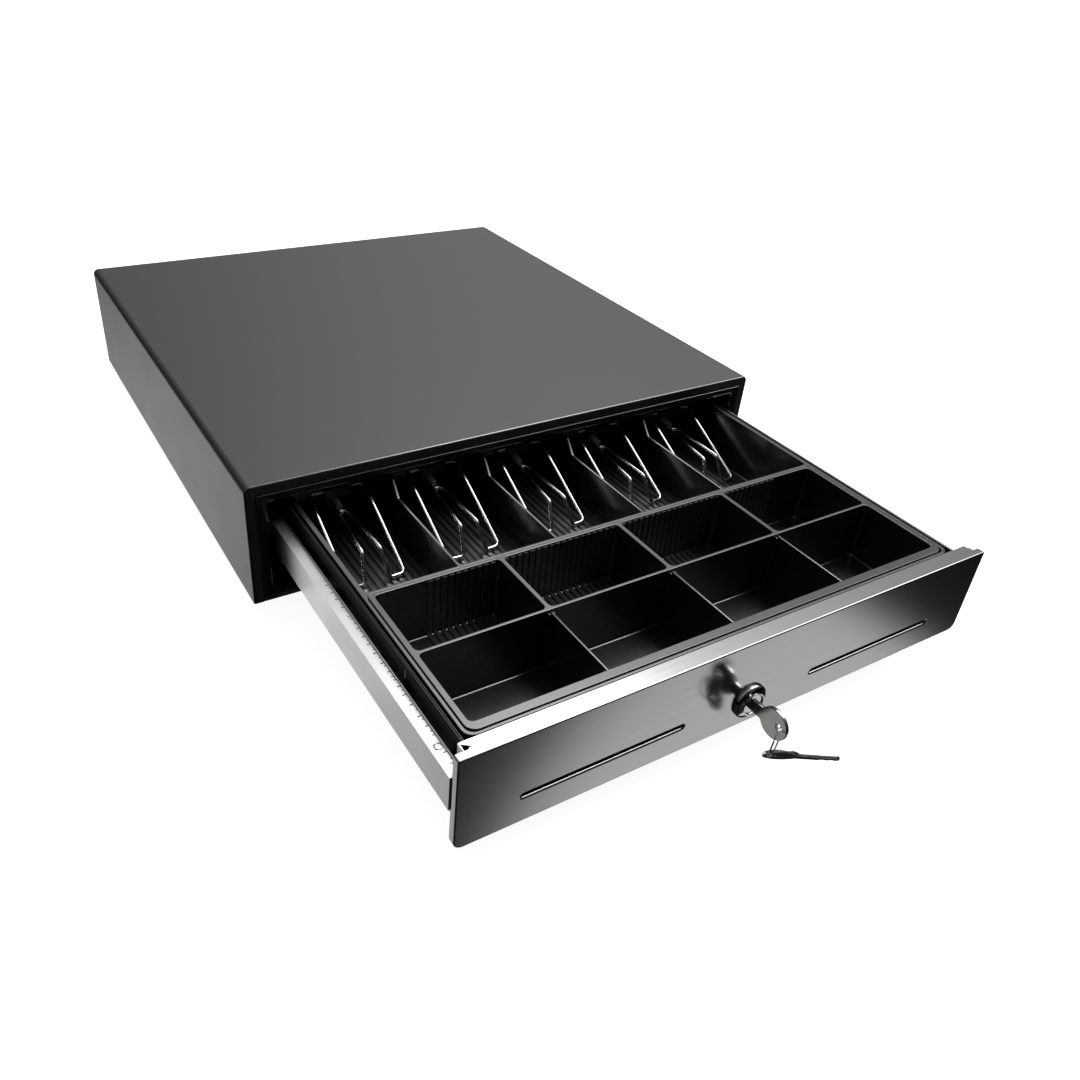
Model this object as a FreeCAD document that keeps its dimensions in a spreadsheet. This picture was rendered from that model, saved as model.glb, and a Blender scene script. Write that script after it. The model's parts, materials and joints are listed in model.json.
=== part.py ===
import FreeCAD, Part
import Sketcher
import math
import os

# Cash drawer of the kind that stands under a till printer: a sheet-steel case on
# rubber feet, a drawer on ball slides with a stainless front, a moulded till with
# five note bays and eight coin bays, wire note clips, a key lock, and a solenoid
# latch at the back.  Millimetres, +Z up, -Y to the front.  The drawer stands open.
# Two frames are used: "case" has its origin under the middle of the case, and
# "drawer" has y = 0 on the outer face of the drawer front.

DIMENSIONS = [
    ("case_width", 410), ("case_depth", 415), ("case_high", 88), ("foot_high", 12),
    ("case_ahead", 142), ("steel", 1.2), ("top_bend", 4.5), ("front_bend", 2),
    ("lip_side", 7), ("lip_low", 3), ("bezel_proud", 0.6), ("bezel_deep", 3),
    ("open_half", 190.5), ("open_low", 23), ("open_top", 86.6), ("open_corner", 2.5),
    ("travel", 237.5),
    ("front_half", 187.5), ("front_low", 24), ("front_top", 85.8), ("front_corner", 5.5),
    ("front_steel", 1), ("front_return", 5), ("ledge_deep", 10.5), ("ledge_half", 182),
    ("slot_middle", 99), ("slot_long", 103), ("slot_gap", 3), ("slot_level", 43),
    ("pan_half", 178), ("pan_low", 25), ("pan_top", 81), ("pan_long", 340),
    ("pan_steel", 1), ("hem_high", 8),
    ("rail_outer", 188.4), ("rail_inner", 180.4), ("rail_top", 70.8), ("rail_low", 48.6),
    ("rail_start", 5.2), ("rail_end", 339), ("ball_gap", 5.2), ("ball_size", 4.7),
    ("ball_across", 185.2), ("case_rail_front", 185), ("case_rail_rear", 150),
    ("till_half", 174.6), ("till_front", 14.9), ("till_rear", 331), ("till_low", 26),
    ("rim_top", 81), ("note_half", 171.2), ("note_front", 135.9), ("note_rear", 328),
    ("note_floor", 42), ("note_pitch", 70), ("fence", 2), ("fence_low", 70.8),
    ("fence_knee", 231.2), ("fence_ramp", 8.4), ("well_half", 172.4), ("well_front", 16.7),
    ("well_rear", 133.9), ("well_floor", 39), ("bridge_front", 256), ("bridge_deep", 8),
    ("bridge_low", 70), ("block_half", 9), ("axle_y", 251.6), ("axle_z", 76),
    ("coin_half", 171.9), ("coin_front", 17.4), ("coin_rear", 133.6), ("coin_floor", 41),
    ("coin_top", 81.3), ("cup_half", 168.3), ("cup_front", 23.1), ("cup_rear", 131.2),
    ("row_wall", 78.5), ("row_thick", 2), ("column_pitch", 86.5), ("column_thick", 3),
    ("plate_thick", 1.6), ("rim_corner", 6),
    ("wire_size", 2.5), ("leg_across", 19.25), ("foot_y", 188.5), ("foot_z", 43.6),
    ("hook_across", 8.5), ("hump_across", 6.1), ("hump_y", 197.7), ("hump_z", 61.7),
    ("loop_across", 3.2), ("loop_y", 243), ("loop_z", 63.5),
    ("lock_level", 41.5), ("dome_size", 22.6), ("dome_high", 4.5), ("barrel_size", 19),
    ("barrel_rear", 6.8), ("plug_size", 12.9), ("plug_rear", 13.8), ("bore_play", 0.05),
    ("cam_front", 7.2), ("cam_thick", 2), ("cam_long", 25.5),
    ("key_thick", 2), ("bow_size", 19.5), ("bow_middle", 20.2), ("bow_hole", 4.8),
    ("bow_hole_y", 24.6), ("ring_size", 19.2), ("ring_wire", 1.4),
    ("latch_x", 15), ("latch_y", 176), ("latch_z", 46.5), ("latch_thick", 3),
    ("pull_arm", 16), ("strike_out", 14), ("strike_pin", 5), ("coil_size", 21),
    ("plunger_size", 8), ("shelf_top", 35), ("eject_x", 120), ("eject_z", 48),
    ("socket_x", 60), ("socket_low", 28), ("mount_pitch", 300), ("mount_hole", 4.5),
    ("bead_wide", 1.5), ("bead_high", 0.9), ("tab_reach", 198), ("tab_thick", 3),
    ("tab_low", 55), ("tab_high", 10), ("rivet_across", 184.6), ("rivet_y", 14),
    ("rivet_hole", 4.3), ("spacer_first", 30), ("spacer_pitch", 140), ("spacer_half", 6),
    ("spacer_low", 53), ("spacer_top", 66), ("till_skin", 1.8), ("keeper_half", 12),
    ("keeper_top", 22.4), ("nut_high", 3), ("nut_round", 26.4),
    ("shelf_thick", 2), ("shelf_left", 2), ("shelf_right", 90), ("shelf_front", 146),
    ("shelf_rear", 200), ("pivot_size", 6), ("pivot_top", 53), ("shoulder_size", 10),
    ("clip_low", 49.9), ("clip_size", 11), ("clip_thick", 1), ("pull_hole", 4.6),
    ("latch_coil_y", 188), ("latch_coil_left", 20.4), ("latch_coil_right", 42.4),
    ("latch_coil_size", 5.2), ("latch_coil_wire", 0.9), ("peg_size", 3), ("peg_x", 44.5),
    ("peg_top", 52), ("yoke_left", 40), ("yoke_right", 76), ("yoke_front", 148),
    ("yoke_rear", 172), ("yoke_top", 61), ("yoke_thick", 2), ("core_left", 25),
    ("core_right", 63), ("tongue_left", 12), ("tongue_half", 3), ("tongue_thick", 1.7),
    ("switch_wide", 10), ("switch_front", 166), ("switch_rear", 186), ("switch_low", 43),
    ("switch_top", 53), ("stand_skin", 1.5), ("blade_low", 45.5), ("blade_high", 5),
    ("eject_half", 14), ("eject_foot", 180), ("eject_front", 196), ("eject_rear", 198),
    ("eject_top", 64), ("post_size", 8), ("post_tip", 135), ("eject_coil", 12.4),
    ("eject_wire", 1.6), ("eject_coil_tip", 118), ("lead_size", 3),
    ("striker_half", 12), ("striker_low", 32), ("striker_top", 64), ("striker_thick", 1.5),
    ("ear_half", 7), ("ear_low", 38), ("ear_high", 56), ("ear_thick", 2),
]

doc = FreeCAD.newDocument("cash_drawer")
dims = doc.addObject("Spreadsheet::Sheet", "dims")
for row, (word, number) in enumerate(DIMENSIONS, 1):
    dims.set(f"A{row}", word)
    dims.set(f"B{row}", str(number))
    dims.setAlias(f"B{row}", word)
doc.recompute()


class Size:
    """A length that carries its number and the sheet formula it comes from."""

    def __init__(self, number, formula):
        self.number = number
        self.formula = formula

    def join(self, sign, other, number):
        return Size(number, f"({self.formula} {sign} {other.formula})")

    def __add__(self, other):
        other = size(other)
        return self.join("+", other, self.number + other.number)

    def __sub__(self, other):
        other = size(other)
        return self.join("-", other, self.number - other.number)

    def __mul__(self, other):
        other = size(other)
        return self.join("*", other, self.number * other.number)

    def __truediv__(self, other):
        other = size(other)
        return self.join("/", other, self.number / other.number)

    def __neg__(self):
        return size(0) - self

    def __radd__(self, other):
        return size(other) + self

    def __rsub__(self, other):
        return size(other) - self

    def __rmul__(self, other):
        return size(other) * self


def size(value):
    return value if isinstance(value, Size) else Size(float(value), f"{value:g}")


class Sheet:
    """Looks a word up in the sheet, so S.case_width is that cell's Size."""

    def __getattr__(self, word):
        return Size(float(dims.get(word)), f"dims.{word}")


S = Sheet()
NODES = []
BOTH_SIDES = (("left", -1), ("right", 1))
AXIS_TURN = {
    "x": FreeCAD.Rotation(FreeCAD.Vector(0, 1, 0), 90),
    "y": FreeCAD.Rotation(FreeCAD.Vector(1, 0, 0), -90),
    "z": FreeCAD.Rotation(),
}
CASE = S.case_ahead
DRAWER = S.case_ahead - S.case_depth / 2 - S.travel
FLOOR = S.foot_high + S.steel


# ---------------------------------------------------------------- shape helpers
def bind(item, prop, value):
    item.setExpression(prop, size(value).formula)


def box(x, y, z):
    """A block between two limits along each axis."""
    solid = doc.addObject("Part::Box", "block")
    for prop, axis, (low, high) in zip(("Length", "Width", "Height"), "xyz", (x, y, z)):
        bind(solid, prop, size(high) - low)
        bind(solid, f"Placement.Base.{axis}", low)
    return solid


def both(half):
    """Limits either side of the middle."""
    return -size(half), size(half)


def side_span(side, inner, outer):
    """Limits between two distances from the middle, on one side."""
    return (size(inner), size(outer)) if side > 0 else (-size(outer), -size(inner))


def rod(axis, radius, span, across):
    """A cylinder along an axis, centred at the two other coordinates."""
    solid = doc.addObject("Part::Cylinder", "rod")
    solid.Placement = FreeCAD.Placement(FreeCAD.Vector(), AXIS_TURN[axis])
    bind(solid, "Radius", radius)
    bind(solid, "Height", size(span[1]) - span[0])
    for letter, place in zip([a for a in "xyz" if a != axis], across):
        bind(solid, f"Placement.Base.{letter}", place)
    bind(solid, f"Placement.Base.{axis}", span[0])
    return solid


def ball(radius, x, y, z):
    solid = doc.addObject("Part::Sphere", "ball")
    bind(solid, "Radius", radius)
    for letter, place in zip("xyz", (x, y, z)):
        bind(solid, f"Placement.Base.{letter}", place)
    return solid


def fuse(solids):
    if len(solids) == 1:
        return solids[0]
    joined = doc.addObject("Part::MultiFuse", "joined")
    joined.Shapes = solids
    return joined


def cut(base, tools):
    result = doc.addObject("Part::Cut", "trimmed")
    result.Base = base
    result.Tool = fuse(tools)
    return result


def round_edges(item, radius, wanted):
    """Rounds the edges of an item that a test picks."""
    doc.recompute()
    rounded = doc.addObject("Part::Fillet", "rounded")
    rounded.Base = item
    picked = [i for i, edge in enumerate(item.Shape.Edges, 1) if wanted(edge)]
    rounded.Edges = [(i, radius.number, radius.number) for i in picked]
    return rounded


def runs_along(axis, edge):
    span = edge.BoundBox
    lengths = {"x": span.XLength, "y": span.YLength, "z": span.ZLength}
    return lengths.pop(axis) > 0.1 and max(lengths.values()) < 0.01


def node(name, item, along=0, across=0, up=0):
    """Names a finished sub-part and places it in the row's frame."""
    if isinstance(item, list) or item.TypeId in ("Part::Box", "Part::Cylinder"):
        group = doc.addObject("Part::Compound", "set")
        group.Links = item if isinstance(item, list) else [item]
        item = group
    item.Label = name
    for letter, place in (("x", across), ("y", along), ("z", up)):
        if size(place).number:
            bind(item, f"Placement.Base.{letter}", place)
    NODES.append(item)
    return item


def rounded_path(points, radii=None):
    """Straight runs joined by arcs, of given radii or as large as the runs allow."""
    corners = [FreeCAD.Vector(*p) for p in points]
    edges = []
    here = corners[0]
    for i in range(1, len(corners) - 1):
        back = corners[i - 1] - corners[i]
        ahead = corners[i + 1] - corners[i]
        shorter = min(back.Length, ahead.Length)
        half_turn = back.getAngle(ahead) / 2
        radius = radii[i - 1] if radii else 0.45 * shorter * math.tan(half_turn)
        back.normalize()
        ahead.normalize()
        reach = radius / math.tan(half_turn)
        enter = corners[i] + back * reach
        leave = corners[i] + ahead * reach
        middle = (back + ahead).normalize()
        crown = corners[i] + middle * (radius / math.sin(half_turn) - radius)
        edges.append(Part.LineSegment(here, enter).toShape())
        edges.append(Part.Arc(enter, crown, leave).toShape())
        here = leave
    edges.append(Part.LineSegment(here, corners[-1]).toShape())
    return Part.Wire(edges)


def wire_solid(path, radius):
    """A round wire swept along a path."""
    first = path.Edges[0]
    start = first.Vertexes[0].Point
    heading = first.tangentAt(first.FirstParameter)
    profile = Part.Wire([Part.makeCircle(radius, start, heading)])
    solid = path.makePipeShell([profile], True, True)
    straight = math.pi * radius ** 2 * path.Length
    assert abs(solid.Volume / straight - 1) < 0.01, "a wire's volume is wrong"
    return solid


def coil_solid(start, end, coil_radius, wire_radius, turns):
    """A coil spring between two points."""
    axis = FreeCAD.Vector(*end) - FreeCAD.Vector(*start)
    helix = Part.makeHelix(axis.Length / turns, axis.Length, coil_radius)
    profile = Part.Wire([Part.makeCircle(
        wire_radius, FreeCAD.Vector(coil_radius, 0, 0), FreeCAD.Vector(0, 1, 0))])
    shape = Part.Wire(helix.Edges).makePipeShell([profile], True, True)
    turn = FreeCAD.Rotation(FreeCAD.Vector(0, 0, 1), axis)
    shape.Placement = FreeCAD.Placement(FreeCAD.Vector(*start), turn)
    return Part.makeCompound([shape])


def shape_node(name, shape, along=0, across=0, up=0):
    """A sub-part whose shape is worked out here rather than by a feature."""
    item = doc.addObject("Part::Feature", "shaped")
    item.Shape = shape
    return node(name, item, along, across, up)


# --------------------------------------------------------------- sketch helpers
def new_body(name):
    return doc.addObject("PartDesign::Body", name)


def new_sketch(body, role, offset=0):
    sketch = body.newObject("Sketcher::SketchObject", "outline")
    origin_plane = next(f for f in body.Origin.OriginFeatures if f.Role == role)
    sketch.AttachmentSupport = (origin_plane, [""])
    sketch.MapMode = "FlatFace"
    if size(offset).number:
        bind(sketch, "AttachmentOffset.Base.z", offset)
    return sketch


def pin_point(sketch, shape_index, point_index, place):
    """Ties a sketch point to sheet formulas, or to an axis where it is zero."""
    for kind, own_axis, value in (("DistanceX", -2, place[0]), ("DistanceY", -1, place[1])):
        value = size(value)
        if abs(value.number) < 1e-9:
            sketch.addConstraint(
                Sketcher.Constraint("PointOnObject", shape_index, point_index, own_axis))
            continue
        index = sketch.addConstraint(Sketcher.Constraint(
            kind, -1, 1, shape_index, point_index, value.number))
        sketch.setExpression(f"Constraints[{index}]", value.formula)


def add_outline(sketch, points):
    """A closed outline of straight sides through the points."""
    spots = [FreeCAD.Vector(size(x).number, size(y).number, 0) for x, y in points]
    first = sketch.GeometryCount
    for i, spot in enumerate(spots):
        following = spots[(i + 1) % len(spots)]
        sketch.addGeometry(Part.LineSegment(spot, following), False)
    for i, place in enumerate(points):
        after = first + (i + 1) % len(points)
        sketch.addConstraint(Sketcher.Constraint("Coincident", first + i, 2, after, 1))
        pin_point(sketch, first + i, 1, place)


def add_circle(sketch, place, radius):
    middle = FreeCAD.Vector(size(place[0]).number, size(place[1]).number, 0)
    circle = Part.Circle(middle, FreeCAD.Vector(0, 0, 1), size(radius).number)
    index = sketch.addGeometry(circle, False)
    pin_point(sketch, index, 3, place)
    rule = sketch.addConstraint(Sketcher.Constraint("Radius", index, size(radius).number))
    sketch.setExpression(f"Constraints[{rule}]", size(radius).formula)


def pad(body, sketch, length, midplane=False, reverse=False):
    feature = body.newObject("PartDesign::Pad", "pad")
    feature.Profile = sketch
    bind(feature, "Length", length)
    feature.Midplane = midplane
    feature.Reversed = reverse
    sketch.Visibility = False
    doc.recompute()
    return feature


def pocket(body, sketch, length, midplane=False, reverse=False):
    """Cuts a sketch into a body, and makes sure that it did cut."""
    before = body.Shape.Volume
    feature = body.newObject("PartDesign::Pocket", "pocket")
    feature.Profile = sketch
    bind(feature, "Length", length)
    feature.Midplane = midplane
    feature.Reversed = reverse
    doc.recompute()
    assert body.Shape.Volume < before - 1e-6, f"{body.Name}: a pocket cuts nothing"
    return feature


def turn_about_y(body, points):
    """A turned piece: the outline gives radius against distance along Y."""
    sketch = new_sketch(body, "XY_Plane")
    add_outline(sketch, points)
    feature = body.newObject("PartDesign::Revolution", "turned")
    feature.Profile = sketch
    feature.ReferenceAxis = (sketch, ["V_Axis"])
    feature.Angle = 360
    doc.recompute()
    return feature


# ------------------------------------------------------------------------ case
half_width = S.case_width / 2
half_depth = S.case_depth / 2
case_top = S.foot_high + S.case_high
front_y = -half_depth
FOOT_X, FOOT_Y = 168, 170
FOOT_BOTTOM, FOOT_TOP = 9, 11
SCREW_X, SCREW_LOW, SCREW_TOP = 192, 19, 88
PANEL_Y = (half_depth - 2.5, half_depth - 1.3)
TAB_Y = (PANEL_Y[0] - S.steel, PANEL_Y[0])


def make_case_cover():
    outer = box(both(half_width), both(half_depth), (S.foot_high, case_top))
    outer = round_edges(outer, S.top_bend, lambda edge: runs_along("y", edge)
                        and edge.BoundBox.ZMin > case_top.number - 1)
    outer = round_edges(outer, S.front_bend, lambda edge: edge.BoundBox.YMax
                        < front_y.number + 0.01 and edge.BoundBox.ZMax > 20)
    inner = box(both(half_width - S.steel), (front_y + S.steel, half_depth + 1),
                (S.foot_high - 1, case_top - S.steel))
    inner = round_edges(inner, S.top_bend - S.steel, lambda edge: runs_along("y", edge)
                        and edge.BoundBox.ZMin > case_top.number - 3)
    window = box(both(half_width - S.lip_side), (front_y - 1, front_y + S.steel + 1),
                 (S.foot_high - 1, case_top - S.lip_side))
    shell = cut(outer, [inner, window])
    tabs = [box(side_span(side, 184, half_width - S.steel), TAB_Y, (80, 95))
            for _, side in BOTH_SIDES]
    holes = [rod("y", 1.6, (TAB_Y[0] - 1, TAB_Y[1] + 1), (SCREW_X * side, SCREW_TOP))
             for _, side in BOTH_SIDES]
    node("case_cover", cut(fuse([shell] + tabs), holes), CASE)


def make_front_bezel():
    play = 0.2
    frame = box(both(half_width - S.lip_side - play),
                (front_y - S.bezel_proud, front_y + S.steel),
                (S.foot_high + S.lip_low + play, case_top - S.lip_side - play))
    flange = box(both(half_width - S.lip_side + 4), (front_y + S.steel, front_y + S.bezel_deep),
                 (S.foot_high + 1.5, case_top - 2.5))
    opening = box(both(S.open_half), (front_y - 2, front_y + S.bezel_deep + 1),
                  (S.open_low, S.open_top))
    opening = round_edges(opening, S.open_corner, lambda edge: runs_along("y", edge))
    node("front_bezel", cut(fuse([frame, flange]), [opening]), CASE)


def make_base_pan():
    pan_half = half_width - S.steel - 0.1
    floor_top = S.foot_high + S.steel
    rear = PANEL_Y[0]
    floor = box(both(pan_half), (front_y + S.steel, rear), (S.foot_high, floor_top))
    lip = box(both(half_width - S.lip_side - 0.2), (front_y, front_y + S.steel),
              (S.foot_high, S.foot_high + S.lip_low))
    back = box(both(pan_half), (rear - S.steel, rear), (floor_top, floor_top + 12))
    sides = [box(side_span(side, pan_half - S.steel, pan_half),
                 (front_y + S.steel + 2, rear - S.steel), (floor_top, floor_top + 12))
             for _, side in BOTH_SIDES]
    holes = []
    for x in (-1, 1):
        for y in (-1, 1):
            holes.append(rod("z", S.mount_hole / 2, (S.foot_high - 1, floor_top + 1),
                             (S.mount_pitch / 2 * x, S.mount_pitch / 2 * y)))
            holes.append(rod("z", 2.1, (S.foot_high - 1, floor_top + 1),
                             (x * FOOT_X, y * FOOT_Y)))
        holes.append(rod("y", 1.6, (TAB_Y[0] - 1, TAB_Y[1] + 1), (SCREW_X * x, SCREW_LOW)))
    node("base_pan", cut(fuse([floor, lip, back] + sides), holes), CASE)


def make_feet():
    feet, screws, nuts = [], [], []
    for x in (-FOOT_X, FOOT_X):
        for y in (-FOOT_Y, FOOT_Y):
            cone = doc.addObject("Part::Cone", "foot")
            cone.Radius1 = FOOT_BOTTOM
            cone.Radius2 = FOOT_TOP
            bind(cone, "Height", S.foot_high)
            cone.Placement.Base = FreeCAD.Vector(x, y, 0)
            recess = rod("z", 4.2, (-1, 6), (x, y))
            bore = rod("z", 2.1, (-1, S.foot_high + 1), (x, y))
            feet.append(cut(cone, [recess, bore]))
            head = rod("z", 3.6, (3.2, 6), (x, y))
            shank = rod("z", 1.9, (6, 18), (x, y))
            screws.append(fuse([head, shank]))
            nut = doc.addObject("Part::Prism", "nut")
            nut.Polygon = 6
            nut.Circumradius = 4
            nut.Height = 3
            nut.Placement.Base = FreeCAD.Vector(x, y, 13.2)
            nuts.append(cut(nut, [rod("z", 1.95, (13, 17), (x, y))]))
    node("rubber_feet", feet, CASE)
    node("foot_screws", screws, CASE)
    node("foot_nuts", nuts, CASE)


def make_rear_panel():
    panel = box(both(half_width - 1.4), PANEL_Y, (13.5, case_top - 1.4))
    panel = round_edges(panel, S.top_bend - 0.5, lambda edge: runs_along("y", edge)
                        and edge.BoundBox.ZMin > SCREW_TOP)
    cutout = box((-S.socket_x - 8.2, -S.socket_x + 8.2), (PANEL_Y[0] - 1, PANEL_Y[1] + 1),
                 (S.socket_low - 0.2, S.socket_low + 16.2))
    holes, screws = [], []
    for x in (-SCREW_X, SCREW_X):
        for z in (SCREW_LOW, SCREW_TOP):
            holes.append(rod("y", 1.6, (PANEL_Y[0] - 1, PANEL_Y[1] + 1), (x, z)))
            head = rod("y", 2.9, (PANEL_Y[1], half_depth - 0.1), (x, z))
            shank = rod("y", 1.5, (PANEL_Y[1] - 7, PANEL_Y[1]), (x, z))
            screws.append(fuse([head, shank]))
    node("rear_panel", cut(panel, [cutout] + holes), CASE)
    node("rear_screws", screws, CASE)
    shell = box((-S.socket_x - 8, -S.socket_x + 8), (half_depth - 17.5, half_depth - 1.3),
                (S.socket_low, S.socket_low + 16))
    mouth = box((-S.socket_x - 6, -S.socket_x + 6), (half_depth - 14, half_depth),
                (S.socket_low + 3, S.socket_low + 13))
    node("cable_socket", cut(shell, [mouth]), CASE)


def make_case_rail(name, side):
    wall = half_width - S.steel
    y = (-S.case_rail_front, S.case_rail_rear)
    upper = S.rail_top + S.ball_gap
    lower = S.rail_low - S.ball_gap
    inner = 181
    web = box(side_span(side, wall - S.steel, wall), y, (lower - S.steel, upper + S.steel))
    top = box(side_span(side, inner, wall - S.steel), y, (upper, upper + S.steel))
    bottom = box(side_span(side, inner, wall - S.steel), y, (lower - S.steel, lower))
    top_lip = box(side_span(side, inner, inner + S.steel), y, (upper - 1.2, upper))
    bottom_lip = box(side_span(side, inner, inner + S.steel), y, (lower, lower + 1.2))
    nose_y = -S.case_rail_front - 18.5
    arm = box(side_span(side, wall - S.steel, wall), (nose_y, y[0]), (61, 71))
    tab = box(side_span(side, 189.2, wall - S.steel), (nose_y, nose_y + S.steel), (61, 71))
    node(name, fuse([web, top, bottom, top_lip, bottom_lip, arm, tab]), CASE)


def make_ball_cage(name, side):
    """A strip folded round the drawer rail, and the balls that it spaces."""
    long, pitch, count = 69, 15, 5
    start = -S.case_rail_front + 5
    y = (start, start + long)
    upper = S.rail_top + S.ball_gap / 2
    lower = S.rail_low - S.ball_gap / 2
    web_x = side_span(side, S.rail_outer + 1.2, S.rail_outer + 2)
    strip_x = side_span(side, S.ball_across - 2.9, S.rail_outer + 2)
    web = box(web_x, y, (lower - 0.5, upper + 0.5))
    strips = [box(strip_x, y, (level - 0.5, level + 0.5)) for level in (upper, lower)]
    across = S.ball_across * side
    holes, balls = [], []
    for i in range(count):
        along = start + (long - pitch * (count - 1)) / 2 + pitch * i
        for level in (upper, lower):
            holes.append(rod("z", S.ball_size / 2 + 0.1, (level - 1, level + 1), (across, along)))
            balls.append(ball(S.ball_size / 2, across, along, level))
    node(f"{name}_ball_cage", cut(fuse([web] + strips), holes), CASE)
    node(f"{name}_balls", balls, CASE)


def make_stop_bumpers():
    rear = front_y - S.travel + S.rail_end - 3.3
    bumpers = [box(side_span(side, 191, half_width - S.steel * 2), (rear - 10, rear), (55, 65))
               for _, side in BOTH_SIDES]
    node("stop_bumpers", bumpers, CASE)


# ---------------------------------------------------------------------- drawer
def make_drawer_front():
    shell = box(both(S.front_half), (0, S.front_return), (S.front_low, S.front_top))
    shell = round_edges(shell, S.front_corner, lambda edge: runs_along("y", edge)
                        and edge.BoundBox.ZMax < 30)
    hollow = box(both(S.front_half - S.front_steel), (S.front_steel, S.front_return + 1),
                 (S.front_low + S.front_steel, S.front_top - S.front_steel))
    hollow = round_edges(hollow, S.front_corner - S.front_steel,
                         lambda edge: runs_along("y", edge) and edge.BoundBox.ZMax < 30)
    ledge = box(both(S.ledge_half), (S.front_return, S.ledge_deep),
                (S.front_top - S.front_steel, S.front_top))
    turned = box(both(S.ledge_half - 2), (S.ledge_deep - S.front_steel, S.ledge_deep),
                 (S.front_top - 8, S.front_top - S.front_steel))
    holes = [rod("y", S.barrel_size / 2 + 0.1, (-1, 2), (0, S.lock_level))]
    for _, side in BOTH_SIDES:
        middle = S.slot_middle * side
        slot = box((middle - S.slot_long / 2, middle + S.slot_long / 2), (-1, 2),
                   (S.slot_level - S.slot_gap / 2, S.slot_level + S.slot_gap / 2))
        holes.append(round_edges(slot, S.slot_gap / 2 - 0.01,
                                 lambda edge: runs_along("y", edge)))
    body = fuse([cut(shell, [hollow]), ledge, turned])
    node("drawer_front", cut(body, holes), DRAWER)


def make_drawer_pan():
    front = S.ledge_deep
    outer = box(both(S.pan_half), (front, S.pan_long), (S.pan_low, S.pan_top))
    inner = box(both(S.pan_half - S.pan_steel),
                (front + S.pan_steel, S.pan_long - S.pan_steel),
                (S.pan_low + S.pan_steel, S.pan_top + 1))
    apron = box(both(S.pan_half), (S.front_steel, front), (S.pan_low, S.pan_low + S.pan_steel))
    hem_z = (S.pan_top - S.hem_high, S.pan_top)
    hems = [box(side_span(side, S.pan_half - S.pan_steel * 2, S.pan_half - S.pan_steel),
                (front + S.pan_steel, S.pan_long - S.pan_steel), hem_z)
            for _, side in BOTH_SIDES]
    hems.append(box(both(S.pan_half - S.pan_steel),
                    (front + S.pan_steel, front + S.pan_steel * 2), hem_z))
    cutters = [rod("y", 8, (front - 1, front + 3), (0, S.lock_level)),
               box((-10, 24), (5.6, front + 0.01), (S.pan_low - 1, S.pan_low + 3))]
    for _, side in BOTH_SIDES:
        cutters.append(box(side_span(side, S.pan_half - 1.5, S.pan_half + 1), (71, 72.6), (60, 70)))
    shell = fuse([cut(outer, [inner]), apron] + hems)
    node("drawer_pan", cut(shell, cutters), DRAWER)


def make_drawer_rail(name, side):
    y = (S.rail_start, S.rail_end)
    web = box(side_span(side, S.rail_outer - S.steel, S.rail_outer), y, (S.rail_low, S.rail_top))
    flange_x = side_span(side, S.rail_inner, S.rail_outer - S.steel)
    top = box(flange_x, y, (S.rail_top - S.steel, S.rail_top))
    bottom = box(flange_x, y, (S.rail_low, S.rail_low + S.steel))
    bead = box(side_span(side, S.rail_inner, S.rail_inner + S.bead_wide), y,
               (S.rail_top, S.rail_top + S.bead_high))
    tab = box(side_span(side, S.rail_outer, S.tab_reach), (S.rail_end - S.tab_thick, S.rail_end),
              (S.tab_low, S.tab_low + S.tab_high))
    hole = rod("z", S.rivet_hole / 2, (S.rail_top - 2, S.rail_top + 1),
               (S.rivet_across * side, S.rivet_y))
    node(name, cut(fuse([web, top, bottom, bead, tab]), [hole]), DRAWER)


def make_rail_spacers():
    spacers = []
    for _, side in BOTH_SIDES:
        across = side_span(side, S.pan_half, S.rail_outer - S.steel)
        for i in range(3):
            y = S.spacer_first + S.spacer_pitch * i
            block = box(across, (y - S.spacer_half, y + S.spacer_half), (S.spacer_low, S.spacer_top))
            bolt = rod("x", 2, (across[0] - 1, across[1] + 1), (y, (S.spacer_low + S.spacer_top) / 2))
            spacers.append(cut(block, [bolt]))
    node("rail_spacers", spacers, DRAWER)


def note_centres():
    return [S.note_pitch * i for i in (-2, -1, 0, 1, 2)]


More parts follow.
